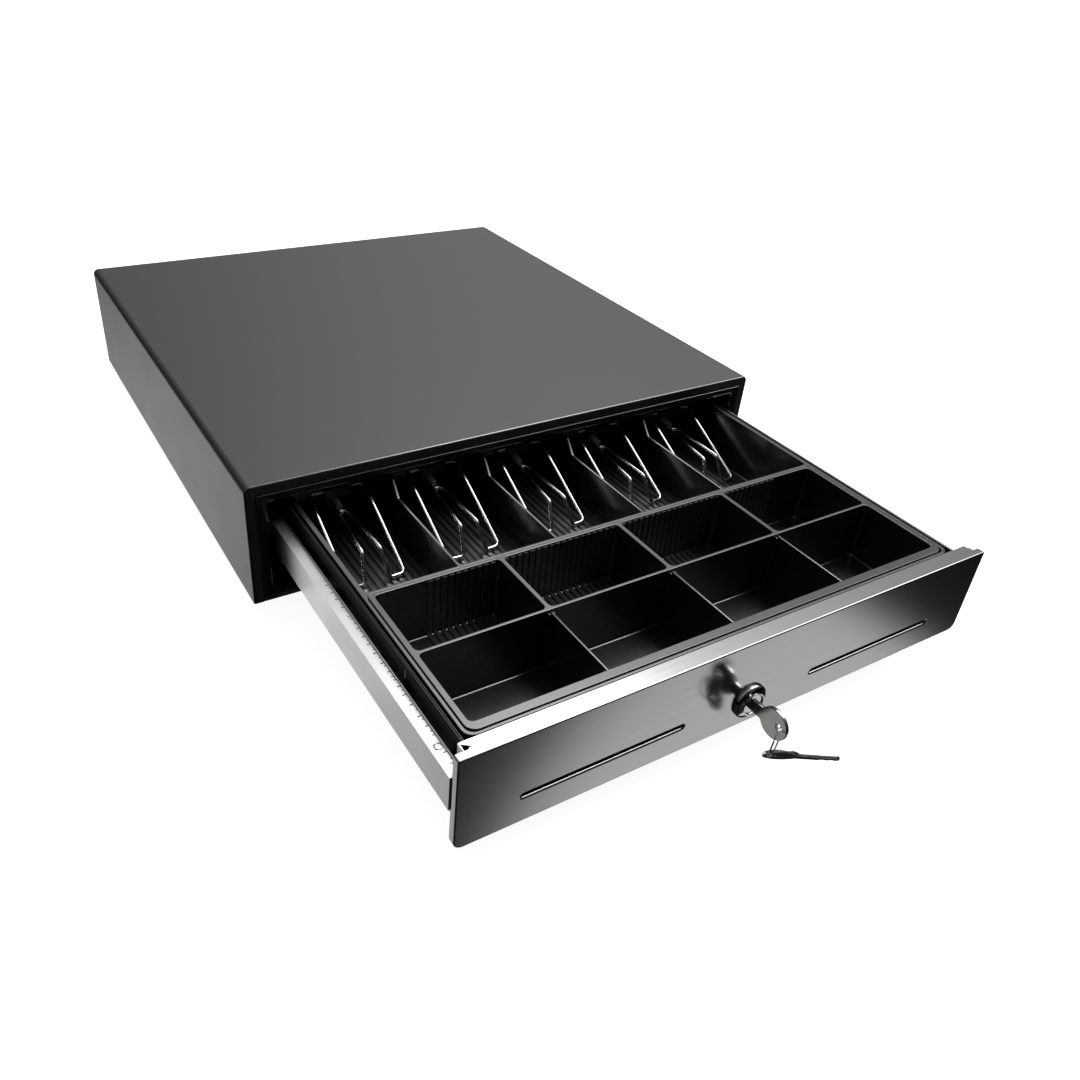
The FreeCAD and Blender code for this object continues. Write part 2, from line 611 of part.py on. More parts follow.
def make_till_tray():
    outer = box(both(S.till_half), (S.till_front, S.till_rear), (S.till_low, S.rim_top))
    outer = round_edges(outer, S.rim_corner, lambda edge: runs_along("z", edge))
    well = box(both(S.well_half), (S.well_front, S.well_rear), (S.well_floor, S.rim_top + 1))
    well = round_edges(well, S.rim_corner - 1, lambda edge: runs_along("z", edge)
                       and edge.BoundBox.YMax < 20)
    cutters = [well]
    for i, centre in enumerate(note_centres()):
        low = centre - S.note_pitch / 2 + S.fence / 2 if i else -S.note_half
        high = centre + S.note_pitch / 2 - S.fence / 2 if i < 4 else S.note_half
        cutters.append(box((low, high), (S.note_front, S.note_rear),
                           (S.note_floor, S.rim_top + 1)))
    over = S.rim_top + 1
    cutters.append(box(both(S.note_half), (S.note_front, S.fence_knee), (S.fence_low, over)))
    ramp = doc.addObject("Part::Wedge", "ramp")
    for prop, value in (("Xmin", -S.note_half), ("Xmax", S.note_half), ("X2min", -S.note_half),
                        ("X2max", S.note_half), ("Ymin", S.fence_knee),
                        ("Ymax", S.fence_knee + S.fence_ramp), ("Zmin", S.fence_low),
                        ("Zmax", over), ("Z2min", over - 0.05), ("Z2max", over)):
        bind(ramp, prop, value)
    cutters.append(ramp)
    skin = S.till_skin
    cutters.append(box(both(S.till_half - skin), (S.well_front, S.well_rear + 1),
                       (S.till_low - 1, S.well_floor - 2)))
    cutters.append(box(both(S.till_half - skin), (S.well_rear + 1, S.till_rear - skin),
                       (S.till_low - 1, S.note_floor - 2)))
    bridge = box(both(S.note_half), (S.bridge_front, S.bridge_front + S.bridge_deep),
                 (S.bridge_low, S.rim_top))
    blocks, bores = [], []
    for centre in note_centres():
        span = (centre - S.block_half, centre + S.block_half)
        blocks.append(box(span, (S.axle_y - 4.6, S.bridge_front), (S.axle_z - 4.5, S.axle_z + 4.5)))
        bores.append(rod("x", S.wire_size / 2 + S.bore_play,
                         (span[0] - 1, span[1] + 1), (S.axle_y, S.axle_z)))
    tray = fuse([cut(outer, cutters), bridge] + blocks)
    node("till_tray", cut(tray, bores), DRAWER)


def make_coin_tray():
    outer = box(both(S.coin_half), (S.coin_front, S.coin_rear), (S.well_floor, S.coin_top))
    outer = round_edges(outer, S.rim_corner, lambda edge: runs_along("z", edge)
                        and edge.BoundBox.YMax < 20)
    over = S.coin_top + 1
    columns = [-S.cup_half] + [S.column_pitch * i for i in (-1, 0, 1)] + [S.cup_half]
    cups = []
    for i, (left, right) in enumerate(zip(columns, columns[1:])):
        low = left + S.column_thick / 2 if i else left
        high = right - S.column_thick / 2 if i < 3 else right
        cup = box((low, high), (S.row_wall + S.row_thick / 2, S.cup_rear), (S.coin_floor, over))
        cups.append(round_edges(cup, S.column_thick, lambda edge: runs_along("z", edge)))
    row = box(both(S.cup_half), (S.cup_front, S.row_wall - S.row_thick / 2),
              (S.coin_floor, over))
    cups.append(round_edges(row, S.column_thick, lambda edge: runs_along("z", edge)))
    node("coin_tray", cut(outer, cups), DRAWER)
    plates = []
    for i in (-1, 0, 1):
        centre = S.column_pitch * i
        plates.append(box((centre - S.plate_thick / 2, centre + S.plate_thick / 2),
                          (S.cup_front, S.row_wall - S.row_thick / 2),
                          (S.coin_floor, S.rim_top - 0.7)))
    node("coin_dividers", plates, DRAWER)


def make_note_clip(number, centre):
    """One bent wire: axle ends, legs, floor hooks, humps and a rear loop."""
    half = [(4, S.axle_y, S.axle_z), (S.leg_across, S.axle_y, S.axle_z),
            (S.leg_across, S.foot_y, S.foot_z), (S.hook_across, S.foot_y - 0.6, S.foot_z),
            (S.hump_across, S.hump_y, S.hump_z), (S.loop_across, S.loop_y, S.loop_z)]
    half = [tuple(size(v).number for v in point) for point in half]
    bends = [3, 4, 2, 5, 2.9]
    points = half + [(-x, y, z) for x, y, z in reversed(half)]
    path = rounded_path(points, bends + bends[::-1])
    shape_node(f"note_clip_{number}", wire_solid(path, S.wire_size.number / 2), DRAWER, centre)
    spring = coil_solid((0, S.loop_y.number + 3, S.loop_z.number + 0.9),
                        (0, S.bridge_front.number + 2.2, S.bridge_low.number - 2.8), 2, 0.4, 8)
    shape_node(f"clip_spring_{number}", spring, DRAWER, centre)


# ------------------------------------------------------------------------ lock
def make_lock():
    housing = new_body("housing")
    bore = S.plug_size / 2 + S.bore_play
    turn_about_y(housing, [
        (bore, S.barrel_rear), (S.barrel_size / 2, S.barrel_rear), (S.barrel_size / 2, 0),
        (S.dome_size / 2, 0), (S.dome_size / 2, -1), (S.dome_size / 2 - 0.9, -2.9),
        (S.dome_size / 2 - 2.6, -S.dome_high + 0.3), (bore + 1.2, -S.dome_high),
        (bore, -S.dome_high + 0.5)])
    node("lock_housing", housing, DRAWER, 0, S.lock_level)
    nut = doc.addObject("Part::Prism", "nut")
    nut.Polygon = 6
    bind(nut, "Circumradius", S.nut_round / 2)
    bind(nut, "Height", S.nut_high)
    nut.Placement = FreeCAD.Placement(FreeCAD.Vector(0, 1, 0), AXIS_TURN["y"])
    hole = rod("y", S.barrel_size / 2, (0, 5), (0, 0))
    node("lock_nut", cut(nut, [hole]), DRAWER, 0, S.lock_level)
    barrel = rod("y", S.plug_size / 2, (-S.dome_high + 0.9, S.plug_rear), (0, 0))
    keyway = box(both(S.key_thick / 2 + 0.1), (-S.dome_high, S.plug_rear - 0.8), both(4))
    node("lock_plug", cut(barrel, [keyway]), DRAWER, 0, S.lock_level)
    cam = new_body("cam")
    sketch = new_sketch(cam, "XZ_Plane", -S.cam_front)
    add_outline(sketch, [(0, -8.5), (9, -8.5), (S.cam_long, -5), (S.cam_long, 5),
                         (9, 8.5), (0, 8.5), (-8.5, 4), (-8.5, -4)])
    add_circle(sketch, (0, 0), S.plug_size / 2)
    pad(cam, sketch, S.cam_thick, reverse=True)
    node("lock_cam", cam, DRAWER, 0, S.lock_level)
    keeper = box(both(S.keeper_half), (front_y + 4, front_y + 6), (FLOOR, S.keeper_top))
    foot = box(both(S.keeper_half), (front_y + 6, front_y + 6.8), (FLOOR, FLOOR + S.steel))
    node("lock_keeper", fuse([keeper, foot]), CASE)


def key_body(name):
    """A flat key: blade along +Y, neck, round bow and its ring hole."""
    body = new_body(name)
    blank = new_sketch(body, "YZ_Plane")
    tip = S.plug_rear - 1.2
    neck = S.bow_middle - 8.6
    add_outline(blank, [(-neck, -4), (-S.dome_high, -4), (-S.dome_high, -3.7), (tip - 2, -3.7),
                        (tip, -1.5), (tip, 1), (tip - 1.5, 2.2), (tip - 4, 1.2),
                        (tip - 6.5, 2.8), (tip - 9, 1.6), (tip - 11, 3.7),
                        (-S.dome_high, 3.7), (-S.dome_high, 4), (-neck, 4)])
    pad(body, blank, S.key_thick, midplane=True)
    bow = new_sketch(body, "YZ_Plane")
    add_circle(bow, (-S.bow_middle, 0), S.bow_size / 2)
    pad(body, bow, S.key_thick, midplane=True)
    hole = new_sketch(body, "YZ_Plane")
    add_circle(hole, (-S.bow_hole_y, 0.5), S.bow_hole / 2)
    pocket(body, hole, S.key_thick * 2, midplane=True)
    return body


def make_keys():
    node("key", key_body("key_blank"), DRAWER, 0, S.lock_level)
    ring = doc.addObject("Part::Torus", "ring")
    bind(ring, "Radius1", S.ring_size / 2)
    bind(ring, "Radius2", S.ring_wire / 2)
    ring_axis = FreeCAD.Vector(-0.42, 0.906, 0)
    ring_turn = FreeCAD.Rotation(FreeCAD.Vector(0, 0, 1), ring_axis)
    ring.Placement = FreeCAD.Placement(FreeCAD.Vector(), ring_turn)
    hole_low = S.lock_level + 0.5 - S.bow_hole / 2
    ring_top = hole_low + S.ring_wire / 2 + 0.5
    ring_middle = ring_top - S.ring_size / 2
    node("key_ring", ring, DRAWER - S.bow_hole_y, 0, ring_middle)
    spare = key_body("spare_blank")
    blade = FreeCAD.Vector(0.84, -0.5426, 0)
    face = FreeCAD.Vector(0.455, 0.705, 0.545).normalize()
    spare.Placement.Rotation = FreeCAD.Rotation(face, blade, face.cross(blade), "XYZ")
    hole_place = spare.Placement.Rotation.multVec(
        FreeCAD.Vector(0, -S.bow_hole_y.number, 0.5))
    node("spare_key", spare, DRAWER - S.bow_hole_y - hole_place.y, -hole_place.x,
         ring_middle - S.ring_size / 2 - hole_place.z)


# ----------------------------------------------------------------------- latch
def make_striker():
    rear = S.pan_long
    pin_y = rear + S.strike_out
    thick = S.striker_thick
    plate = box(both(S.striker_half), (rear, rear + thick), (S.striker_low, S.striker_top))
    ears = [box(both(S.ear_half), (rear + thick, pin_y + 4), (low, low + S.ear_thick))
            for low in (S.ear_low, S.ear_high)]
    node("striker_bracket", fuse([plate] + ears), DRAWER)
    pin = rod("z", S.strike_pin / 2, (S.ear_low + S.ear_thick, S.ear_high), (0, pin_y))
    node("striker_pin", pin, DRAWER)


def make_latch():
    y = (S.shelf_front, S.shelf_rear)
    under = S.shelf_top - S.shelf_thick
    shelf = box((S.shelf_left, S.shelf_right), y, (under, S.shelf_top))
    legs = [box((x, x + S.shelf_thick), y, (FLOOR, under))
            for x in (S.shelf_left, S.shelf_right - S.shelf_thick)]
    node("latch_bracket", fuse([shelf] + legs), CASE)
    pivot = (S.latch_x, S.latch_y)
    post = rod("z", S.pivot_size / 2, (S.shelf_top, S.pivot_top), pivot)
    shoulder = rod("z", S.shoulder_size / 2, (S.shelf_top, S.latch_z - 0.3), pivot)
    node("latch_pivot", fuse([post, shoulder]), CASE)
    clip = rod("z", S.clip_size / 2, (S.clip_low, S.clip_low + S.clip_thick), pivot)
    groove = rod("z", S.pivot_size / 2, (S.clip_low - 1, S.clip_low + S.clip_thick + 1), pivot)
    node("pivot_clip", cut(clip, [groove]), CASE)
    lever = new_body("lever")
    sketch = new_sketch(lever, "XY_Plane", S.latch_z)
    pin_y = front_y + S.pan_long + S.strike_out
    nose = pin_y - S.strike_pin / 2 - 0.4
    add_outline(sketch, [(-4, nose), (-1, nose - 5), (13, nose - 5), (20, 150), (22.5, 166),
                         (23, S.latch_y), (19, 190.5), (11, 190.5), (7.5, S.latch_y),
                         (6.5, 160), (5.5, nose)])
    add_circle(sketch, pivot, S.pivot_size / 2 + S.bore_play)
    add_circle(sketch, (S.latch_x, S.latch_y - S.pull_arm), S.pull_hole / 2)
    pad(lever, sketch, S.latch_thick)
    node("latch_lever", lever, CASE)
    ends = [(x.number, S.latch_coil_y.number, (S.latch_z + S.latch_thick / 2).number)
            for x in (S.latch_coil_left, S.latch_coil_right)]
    spring = coil_solid(*ends, S.latch_coil_size.number / 2, S.latch_coil_wire.number / 2, 14)
    shape_node("latch_spring", spring, CASE)
    peg = rod("z", S.peg_size / 2, (S.shelf_top, S.peg_top), (S.peg_x, S.latch_coil_y))
    node("spring_post", peg, CASE)


def make_solenoid():
    axis_y = S.latch_y - S.pull_arm
    axis_z = S.latch_z + S.latch_thick / 2
    axis = (axis_y, axis_z)
    y, thick = (S.yoke_front, S.yoke_rear), S.yoke_thick
    inner_left, inner_right = S.yoke_left + thick, S.yoke_right - thick
    floor = box((S.yoke_left, S.yoke_right), y, (S.shelf_top, S.shelf_top + thick))
    cheeks = [box((x, x + thick), y, (S.shelf_top + thick, S.yoke_top))
              for x in (S.yoke_left, inner_right)]
    bore = rod("x", S.plunger_size / 2 + S.bore_play, (S.yoke_left - 1, inner_left + 1), axis)
    node("solenoid_frame", cut(fuse([floor] + cheeks), [bore]), CASE)
    winding = rod("x", S.coil_size / 2, (inner_left, inner_right), axis)
    hollow = rod("x", S.plunger_size / 2 + 0.3, (inner_left - 1, inner_right - 4), axis)
    node("solenoid_coil", cut(winding, [hollow]), CASE)
    core = rod("x", S.plunger_size / 2, (S.core_left, S.core_right), axis)
    tongue = box((S.tongue_left, S.core_left + 2), (axis_y - S.tongue_half, axis_y + S.tongue_half),
                 (S.clip_low, S.clip_low + S.tongue_thick))
    peg = rod("z", S.peg_size / 2, (S.latch_z - 0.5, S.latch_z + 4), (S.latch_x, axis_y))
    node("solenoid_plunger", fuse([core, tongue, peg]), CASE)


def make_switch():
    x, y, skin = (-S.switch_wide, 0), (S.switch_front, S.switch_rear), S.stand_skin
    shell = box(x, y, (S.switch_low, S.switch_top))
    stand = box(x, y, (FLOOR, S.switch_low))
    gap = box((x[0] + skin, 1), (y[0] - 1, y[1] + 1), (FLOOR + skin, S.switch_low - skin))
    node("switch_stand", cut(stand, [gap]), CASE)
    node("microswitch", shell, CASE)
    strip = new_body("strip")
    sketch = new_sketch(strip, "XY_Plane", S.blade_low)
    near, far = S.switch_front + 2, S.switch_rear + 3
    add_outline(sketch, [(0.7, near + 0.2), (1.3, near - 0.2), (10.3, far - 0.2), (9.7, far + 0.1)])
    pad(strip, sketch, S.blade_high)
    node("switch_lever", strip, CASE)


def make_eject():
    across = (-S.eject_x - S.eject_half, -S.eject_x + S.eject_half)
    plate = box(across, (S.eject_front, S.eject_rear), (FLOOR, S.eject_top))
    foot = box(across, (S.eject_foot, S.eject_front), (FLOOR, FLOOR + 2))
    post = rod("y", S.post_size / 2, (S.post_tip, S.eject_front), (-S.eject_x, S.eject_z))
    node("eject_bracket", fuse([plate, foot, post]), CASE)
    ends = [(-S.eject_x.number, y.number, S.eject_z.number)
            for y in (S.eject_coil_tip, S.eject_front - 1.5)]
    spring = coil_solid(*ends, S.eject_coil.number / 2, S.eject_wire.number / 2, 12)
    shape_node("eject_spring", spring, CASE)


def make_leads():
    """Wires that the case holds all the way, from the socket to coil and switch."""
    socket_y = half_depth.number - 17.5
    coil_top = (S.latch_z + S.latch_thick / 2 + S.coil_size / 2).number
    coil_route = [(-56, socket_y, 39), (-56, 178, 39), (-52, 168, 52), (-36, 164, 64),
                  (-12, 162, 69), (14, 160, 71), (38, 158, 72), (54, 160, 73), (58, 160, 67),
                  (58, 160, coil_top)]
    switch_route = [(-64, socket_y, 34), (-64, 176, 34), (-58, 174, 24), (-44, 176, 20),
                    (-33, 177, 26), (-28, 176, 40), (-20, 176, 48), (-10, 176, 48)]
    leads = []
    for route in (coil_route, switch_route):
        path = rounded_path(route)
        bends = [edge.Curve.Radius for edge in path.Edges if edge.Curve.TypeId == "Part::GeomCircle"]
        print("lead radii", [round(radius, 1) for radius in bends])
        leads.append(wire_solid(path, S.lead_size.number / 2))
    shape_node("wire_leads", Part.makeCompound(leads), CASE)


# ----------------------------------------------------------------------- build
make_case_cover()
make_front_bezel()
make_base_pan()
make_feet()
make_rear_panel()
make_stop_bumpers()
make_drawer_front()
make_drawer_pan()
for side_name, side_sign in BOTH_SIDES:
    make_case_rail(f"{side_name}_case_rail", side_sign)
    make_ball_cage(side_name, side_sign)
    make_drawer_rail(f"{side_name}_drawer_rail", side_sign)
make_rail_spacers()
make_till_tray()
make_coin_tray()
for clip_number, clip_centre in enumerate(note_centres(), 1):
    make_note_clip(clip_number, clip_centre)
make_lock()
make_keys()
make_striker()
make_latch()
make_solenoid()
make_switch()
make_eject()
make_leads()

doc.recompute()
for item in doc.Objects:
    assert not {"Invalid", "Error"} & set(item.State), f"{item.Label}: {item.State}"
for item in NODES:
    assert not item.Shape.isNull() and item.Shape.isValid(), f"{item.Label}: bad shape"
os.makedirs("parts", exist_ok=True)
whole = FreeCAD.BoundBox()
for item in NODES:
    item.Shape.exportStep(f"parts/{item.Label}.step")
    whole.add(item.Shape.optimalBoundingBox(False))
    print(f"{item.Label:22s} solids {len(item.Shape.Solids):2d} volume {item.Shape.Volume:10.0f}")
print(len(NODES), "nodes; whole box", whole)
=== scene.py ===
import json
import math
import bpy
import bmesh
from mathutils import Matrix, Vector


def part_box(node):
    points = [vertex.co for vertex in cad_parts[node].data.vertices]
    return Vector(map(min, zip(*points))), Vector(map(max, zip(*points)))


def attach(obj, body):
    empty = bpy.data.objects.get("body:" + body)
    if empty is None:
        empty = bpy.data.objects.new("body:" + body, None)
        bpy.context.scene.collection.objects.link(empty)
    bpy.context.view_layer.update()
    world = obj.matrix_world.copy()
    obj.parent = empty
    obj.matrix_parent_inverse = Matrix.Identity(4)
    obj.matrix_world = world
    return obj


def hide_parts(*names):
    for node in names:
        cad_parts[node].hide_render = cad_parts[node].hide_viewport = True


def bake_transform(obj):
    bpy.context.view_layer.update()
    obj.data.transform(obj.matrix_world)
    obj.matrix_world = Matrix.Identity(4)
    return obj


# A cash drawer pulled open: powder-coated case, stainless drawer front, moulded till
# with note and coin bays, wire clips and a key lock.  Meshes are built in millimetres
# about one of three points, then scaled: CASE is under the middle of the case, DRAWER has
# y = 0 on the drawer front's outer face, and LOCK is there on the lock's axis.

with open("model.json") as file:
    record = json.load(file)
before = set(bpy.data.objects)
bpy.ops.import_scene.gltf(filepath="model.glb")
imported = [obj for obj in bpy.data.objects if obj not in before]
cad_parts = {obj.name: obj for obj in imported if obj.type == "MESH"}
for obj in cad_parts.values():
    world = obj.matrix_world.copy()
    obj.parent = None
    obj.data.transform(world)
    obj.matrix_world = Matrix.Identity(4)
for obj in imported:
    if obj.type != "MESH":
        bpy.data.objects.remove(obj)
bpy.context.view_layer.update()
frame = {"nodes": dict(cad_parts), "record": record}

MM = 0.001
LARGE = 5e-4                                # faces over this many square metres are flat
cover_low, cover_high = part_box("case_cover")
front_low, front_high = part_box("drawer_front")
CASE = Vector((0, (cover_low.y + cover_high.y) / 2, 0))
DRAWER = Vector((0, front_low.y, 0))
LOCK_HEIGHT = 41.5
LOCK = DRAWER + Vector((0, 0, LOCK_HEIGHT * MM))

# -------------------------------------------------------- driving sizes, millimetres
CASE_HALF, CASE_DEPTH = 205.0, 207.5        # half the case's width and depth
CASE_TOP, CASE_FOOT = 100.0, 12.0           # heights of the cover's top and lower edge
SHEET = 1.2                                 # steel of the case and the rails
WALL = CASE_HALF - SHEET                    # inner face of the cover's sides
BOLT_SPOTS = [(x, y) for x in (-150, 150) for y in (-150, 150)]
FOOT_SPOTS = [(x, y) for x in (-168, 168) for y in (-170, 170)]
REAR_SCREWS = [(x, z) for x in (-192, 192) for z in (19, 88)]
JACK_X = -60                                # middle of the lead socket

FRONT_HALF, FRONT_TOP = 187.5, 85.8         # the stainless front
PAN_HALF, PAN_FRONT, PAN_BACK = 178, 10.5, 340
PAN_FOOT, PAN_TOP = 25, 81
TILL_FLOOR, COIN_FLOOR = 41.1, 40.6         # floors of the note bays and rear coin bays
FENCES = (-105, -35, 35, 105)               # walls between the note bays
NOTE_CENTRES = (-140, -70, 0, 70, 140)
COLUMNS = (-168.3, -86.5, 0, 86.5, 168.3)   # walls of the coin bays
AXLE = (251.6, 76)                          # where the note clips turn, Y and Z


# ------------------------------------------------------------------ mesh helpers
def arc(centre, radius, start, end, steps):
    """Points of an arc in a plane, angles in degrees."""
    points = []
    for i in range(steps + 1):
        angle = math.radians(start + (end - start) * i / steps)
        points.append((centre[0] + radius * math.cos(angle), centre[1] + radius * math.sin(angle)))
    return points


def rounded_rect(u, v, radius, steps=4):
    """An anticlockwise rounded rectangle; radius is one value or one per corner."""
    (u0, u1), (v0, v1) = u, v
    radii = radius if isinstance(radius, (list, tuple)) else [radius] * 4
    corners = [(u1, v0, -90), (u1, v1, 0), (u0, v1, 90), (u0, v0, 180)]
    points = []
    for (cu, cv, start), r in zip(corners, radii):
        inward_u = -1 if cu == u1 else 1
        inward_v = 1 if cv == v0 else -1
        points += arc((cu + inward_u * r, cv + inward_v * r), r, start, start + 90, steps)
    return points


def circle(centre, radius, steps=32):
    """An anticlockwise circle that starts on the right."""
    return arc(centre, radius, 0, 360 * (1 - 1 / steps), steps - 1)


def full_turn(steps):
    """Evenly spaced angles round a circle, in radians."""
    return [2 * math.pi * k / steps for k in range(steps)]


def around(axis, radius, along, turn):
    """A point at a radius and an angle about an axis, some way along it."""
    a, b = radius * math.cos(turn), radius * math.sin(turn)
    return Vector({"x": (along, a, b), "y": (a, along, b), "z": (a, b, along)}[axis])


def span(side, near, far, middle=0):
    """The range between two distances on the left (-1) or right (1) of a middle."""
    return tuple(sorted((middle + side * near, middle + side * far)))


def inset(points, distance):
    """Moves each side of an anticlockwise outline inwards."""
    moved = []
    count = len(points)
    for i in range(count):
        before, here, after = (Vector(points[(i + k) % count]) for k in (-1, 0, 1))
        one, two = (here - before), (after - here)
        if one.length < 1e-9 or two.length < 1e-9:
            one = two if one.length < 1e-9 else one
            two = one if two.length < 1e-9 else two
        one.normalize()
        two.normalize()
        n1, n2 = Vector((-one.y, one.x)), Vector((-two.y, two.x))
        moved.append(tuple(here + (n1 + n2) * (distance / max(1 + n1.dot(n2), 0.35))))
    return moved


FLAT = 1                                    # marks faces that are shaded flat


def upright(u, v, depth):
    """Places an outline in X and Y, with its depth along Z."""
    return (u, v, depth)


def facing(u, v, depth):
    """Places an outline in X and Z, with its depth along Y."""
    return (u, depth, v)


def sideways(u, v, depth):
    """Places an outline in Y and Z, with its depth along X."""
    return (depth, u, v)


def add_loop(bm, points, depth, place):
    """The vertices of an outline at one depth."""
    return [bm.verts.new(place(u, v, depth)) for u, v in points]


def bridge(bm, first, second, closed=True):
    """A strip of faces between two loops of the same length."""
    count = len(first)
    for i in range(count if closed else count - 1):
        k = (i + 1) % count
        bm.faces.new((first[i], first[k], second[k], second[i]))


def fill(bm, loops):
    """One flat face between an outer loop and any loops inside it."""
    edges = []
    for loop in loops:
        for i, vert in enumerate(loop):
            edges.append(bm.edges.get((vert, loop[(i + 1) % len(loop)])))
    made = bmesh.ops.triangle_fill(bm, edges=edges, use_beauty=True, use_dissolve=False)
    for face in made["geom"]:
        if isinstance(face, bmesh.types.BMFace):
            face.material_index = FLAT


def quarter(radius, steps):
    """How a rounded edge goes: (distance in from the side, distance down from the top)."""
    turns = [math.pi / 2 * i / steps for i in range(steps + 1)]
    return [(radius * (1 - math.sin(t)), radius * (1 - math.cos(t))) for t in turns]


def add_slab(bm, outline, low, high, edge=0.3, holes=(), place=upright, steps=2):
    """A plate with rounded edges; each hole is an anticlockwise outline right through."""
    tops, bottoms = [], []
    for points, sign in [(outline, 1)] + [(hole, -1) for hole in holes]:
        course = [(sign * i, high - d) for i, d in quarter(edge, steps)]
        course += [(sign * i, low + d) for i, d in reversed(quarter(edge, steps))]
        loops = [add_loop(bm, inset(points, i), depth, place) for i, depth in course]
        for first, second in zip(loops, loops[1:]):
            bridge(bm, first, second)
        tops.append(loops[0])
        bottoms.append(loops[-1])
    fill(bm, tops)
    fill(bm, bottoms)


def add_block(bm, x, y, z, edge=0.4, steps=2):
    """A box between two values of each of X, Y and Z, its edges rounded."""
    add_slab(bm, rounded_rect(x, y, edge, steps), z[0], z[1], edge, steps=steps)


def add_tray(bm, outline, top, bottom, pockets, lip=0.8, steps=3):
    """A moulding with pockets: each is (x, y, corner, floor, lip, foot, draft)."""
    outer = [add_loop(bm, inset(outline, i), top - d, upright) for i, d in quarter(lip, steps)]
    outer.append(add_loop(bm, outline, bottom, upright))
    for first, second in zip(outer, outer[1:]):
        bridge(bm, first, second)
    rims = [outer[0]]
    for x, y, corner, floor, rim, foot, draft in pockets:
        course = [(-i, top - d) for i, d in quarter(rim, steps)]
        course += [(draft + i, floor + d) for i, d in reversed(quarter(foot, steps))]
        loops = []
        for shift, height in course:
            shrink = max(corner - shift, 0.3)
            points = rounded_rect((x[0] + shift, x[1] - shift), (y[0] + shift, y[1] - shift), shrink)
            loops.append(add_loop(bm, points, height, upright))
        for first, second in zip(loops, loops[1:]):
            bridge(bm, first, second)
        rims.append(loops[0])
        fill(bm, [loops[-1]])
    fill(bm, rims)
    fill(bm, [outer[-1]])


def add_skin(bm, rows, closed=False, wrap=True, caps=True):
    """Faces between rows of points; wrap joins the last row to the first."""
    loops = [[bm.verts.new(p) for p in row] for row in rows]
    pairs = list(zip(loops, loops[1:])) + ([(loops[-1], loops[0])] if wrap else [])
    for first, second in pairs:
        bridge(bm, first, second, closed)
    if caps and not closed:
        bm.faces.new([loop[0] for loop in loops])
        bm.faces.new([loop[-1] for loop in reversed(loops)])


def add_lathe(bm, profile, centre=(0, 0, 0), steps=48, axis="y"):
    """A closed profile of (radius, distance along) turned about an axis."""
    rows = [[Vector(centre) + around(axis, r, along, turn) for r, along in profile]
            for turn in full_turn(steps)]
    add_skin(bm, rows, closed=True)


def add_spindle(bm, profile, centre=(0, 0, 0), steps=32, axis="y"):
    """An open profile turned about an axis, with its two ends filled."""
    loops = [[bm.verts.new(Vector(centre) + around(axis, r, along, turn)) for turn in full_turn(steps)]
             for r, along in profile]
    for first, second in zip(loops, loops[1:]):
        bridge(bm, first, second)
    bm.faces.new(loops[0])
    bm.faces.new(loops[-1])


def add_wire(bm, points, radius, sides=10, closed=False):
    """A round wire along points, carried without twist."""
    points = [Vector(p) for p in points]
    count = len(points)
    headings = []
    for i in range(count):
        if closed:
            headings.append((points[(i + 1) % count] - points[i - 1]).normalized())
        else:
            headings.append((points[min(i + 1, count - 1)] - points[max(i - 1, 0)]).normalized())
    side = headings[0].orthogonal().normalized()
    loops = []
    for point, heading in zip(points, headings):
        side = (side - heading * side.dot(heading)).normalized()
        other = heading.cross(side)
        loops.append([bm.verts.new(point + (side * math.cos(turn) + other * math.sin(turn)) * radius)
                      for turn in full_turn(sides)])
    for first, second in zip(loops, loops[1:]):
        bridge(bm, first, second)
    if closed:
        bridge(bm, loops[-1], loops[0])
    else:
        bm.faces.new(loops[0])
        bm.faces.new(loops[-1])


def rounded_path(points, radii, steps=6):
    """Points along straight runs joined by arcs."""
    corners = [Vector(p) for p in points]
    path = [corners[0]]
    for i, radius in enumerate(radii, 1):
        back = (corners[i - 1] - corners[i]).normalized()
        ahead = (corners[i + 1] - corners[i]).normalized()
        half_turn = back.angle(ahead) / 2
        middle = (back + ahead).normalized()
        centre = corners[i] + middle * (radius / math.sin(half_turn))
        enter = corners[i] + back * (radius / math.tan(half_turn)) - centre
        leave = corners[i] + ahead * (radius / math.tan(half_turn)) - centre
        for k in range(steps + 1):
            path.append(centre + enter.slerp(leave, k / steps).normalized() * radius)
    return path + [corners[-1]]


def finish_piece(name, bm, origin, body, slot, replaces=(), sharp=40, turn=None, look=None):
    """Turns a built mesh into a piece that rides on a body and stands for CAD nodes."""
    bmesh.ops.recalc_face_normals(bm, faces=bm.faces)
    place = Matrix.Translation(origin) @ (turn or Matrix()) @ Matrix.Scale(MM, 4)
    bm.transform(place)
    limit = math.radians(sharp)
    for face in bm.faces:
        face.smooth = face.material_index != FLAT and face.calc_area() < LARGE
        face.material_index = 0
    for edge in bm.edges:
        edge.smooth = len(edge.link_faces) == 2 and edge.calc_face_angle() < limit
    mesh = bpy.data.meshes.new(name)
    bm.to_mesh(mesh)
    bm.free()
    piece = bpy.data.objects.new(name, mesh)
    bpy.context.scene.collection.objects.link(piece)
    piece.data.materials.append(LOOKS[look or slot])
    if body:
        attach(piece, body)
    if replaces:
        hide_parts(*replaces)
    return piece


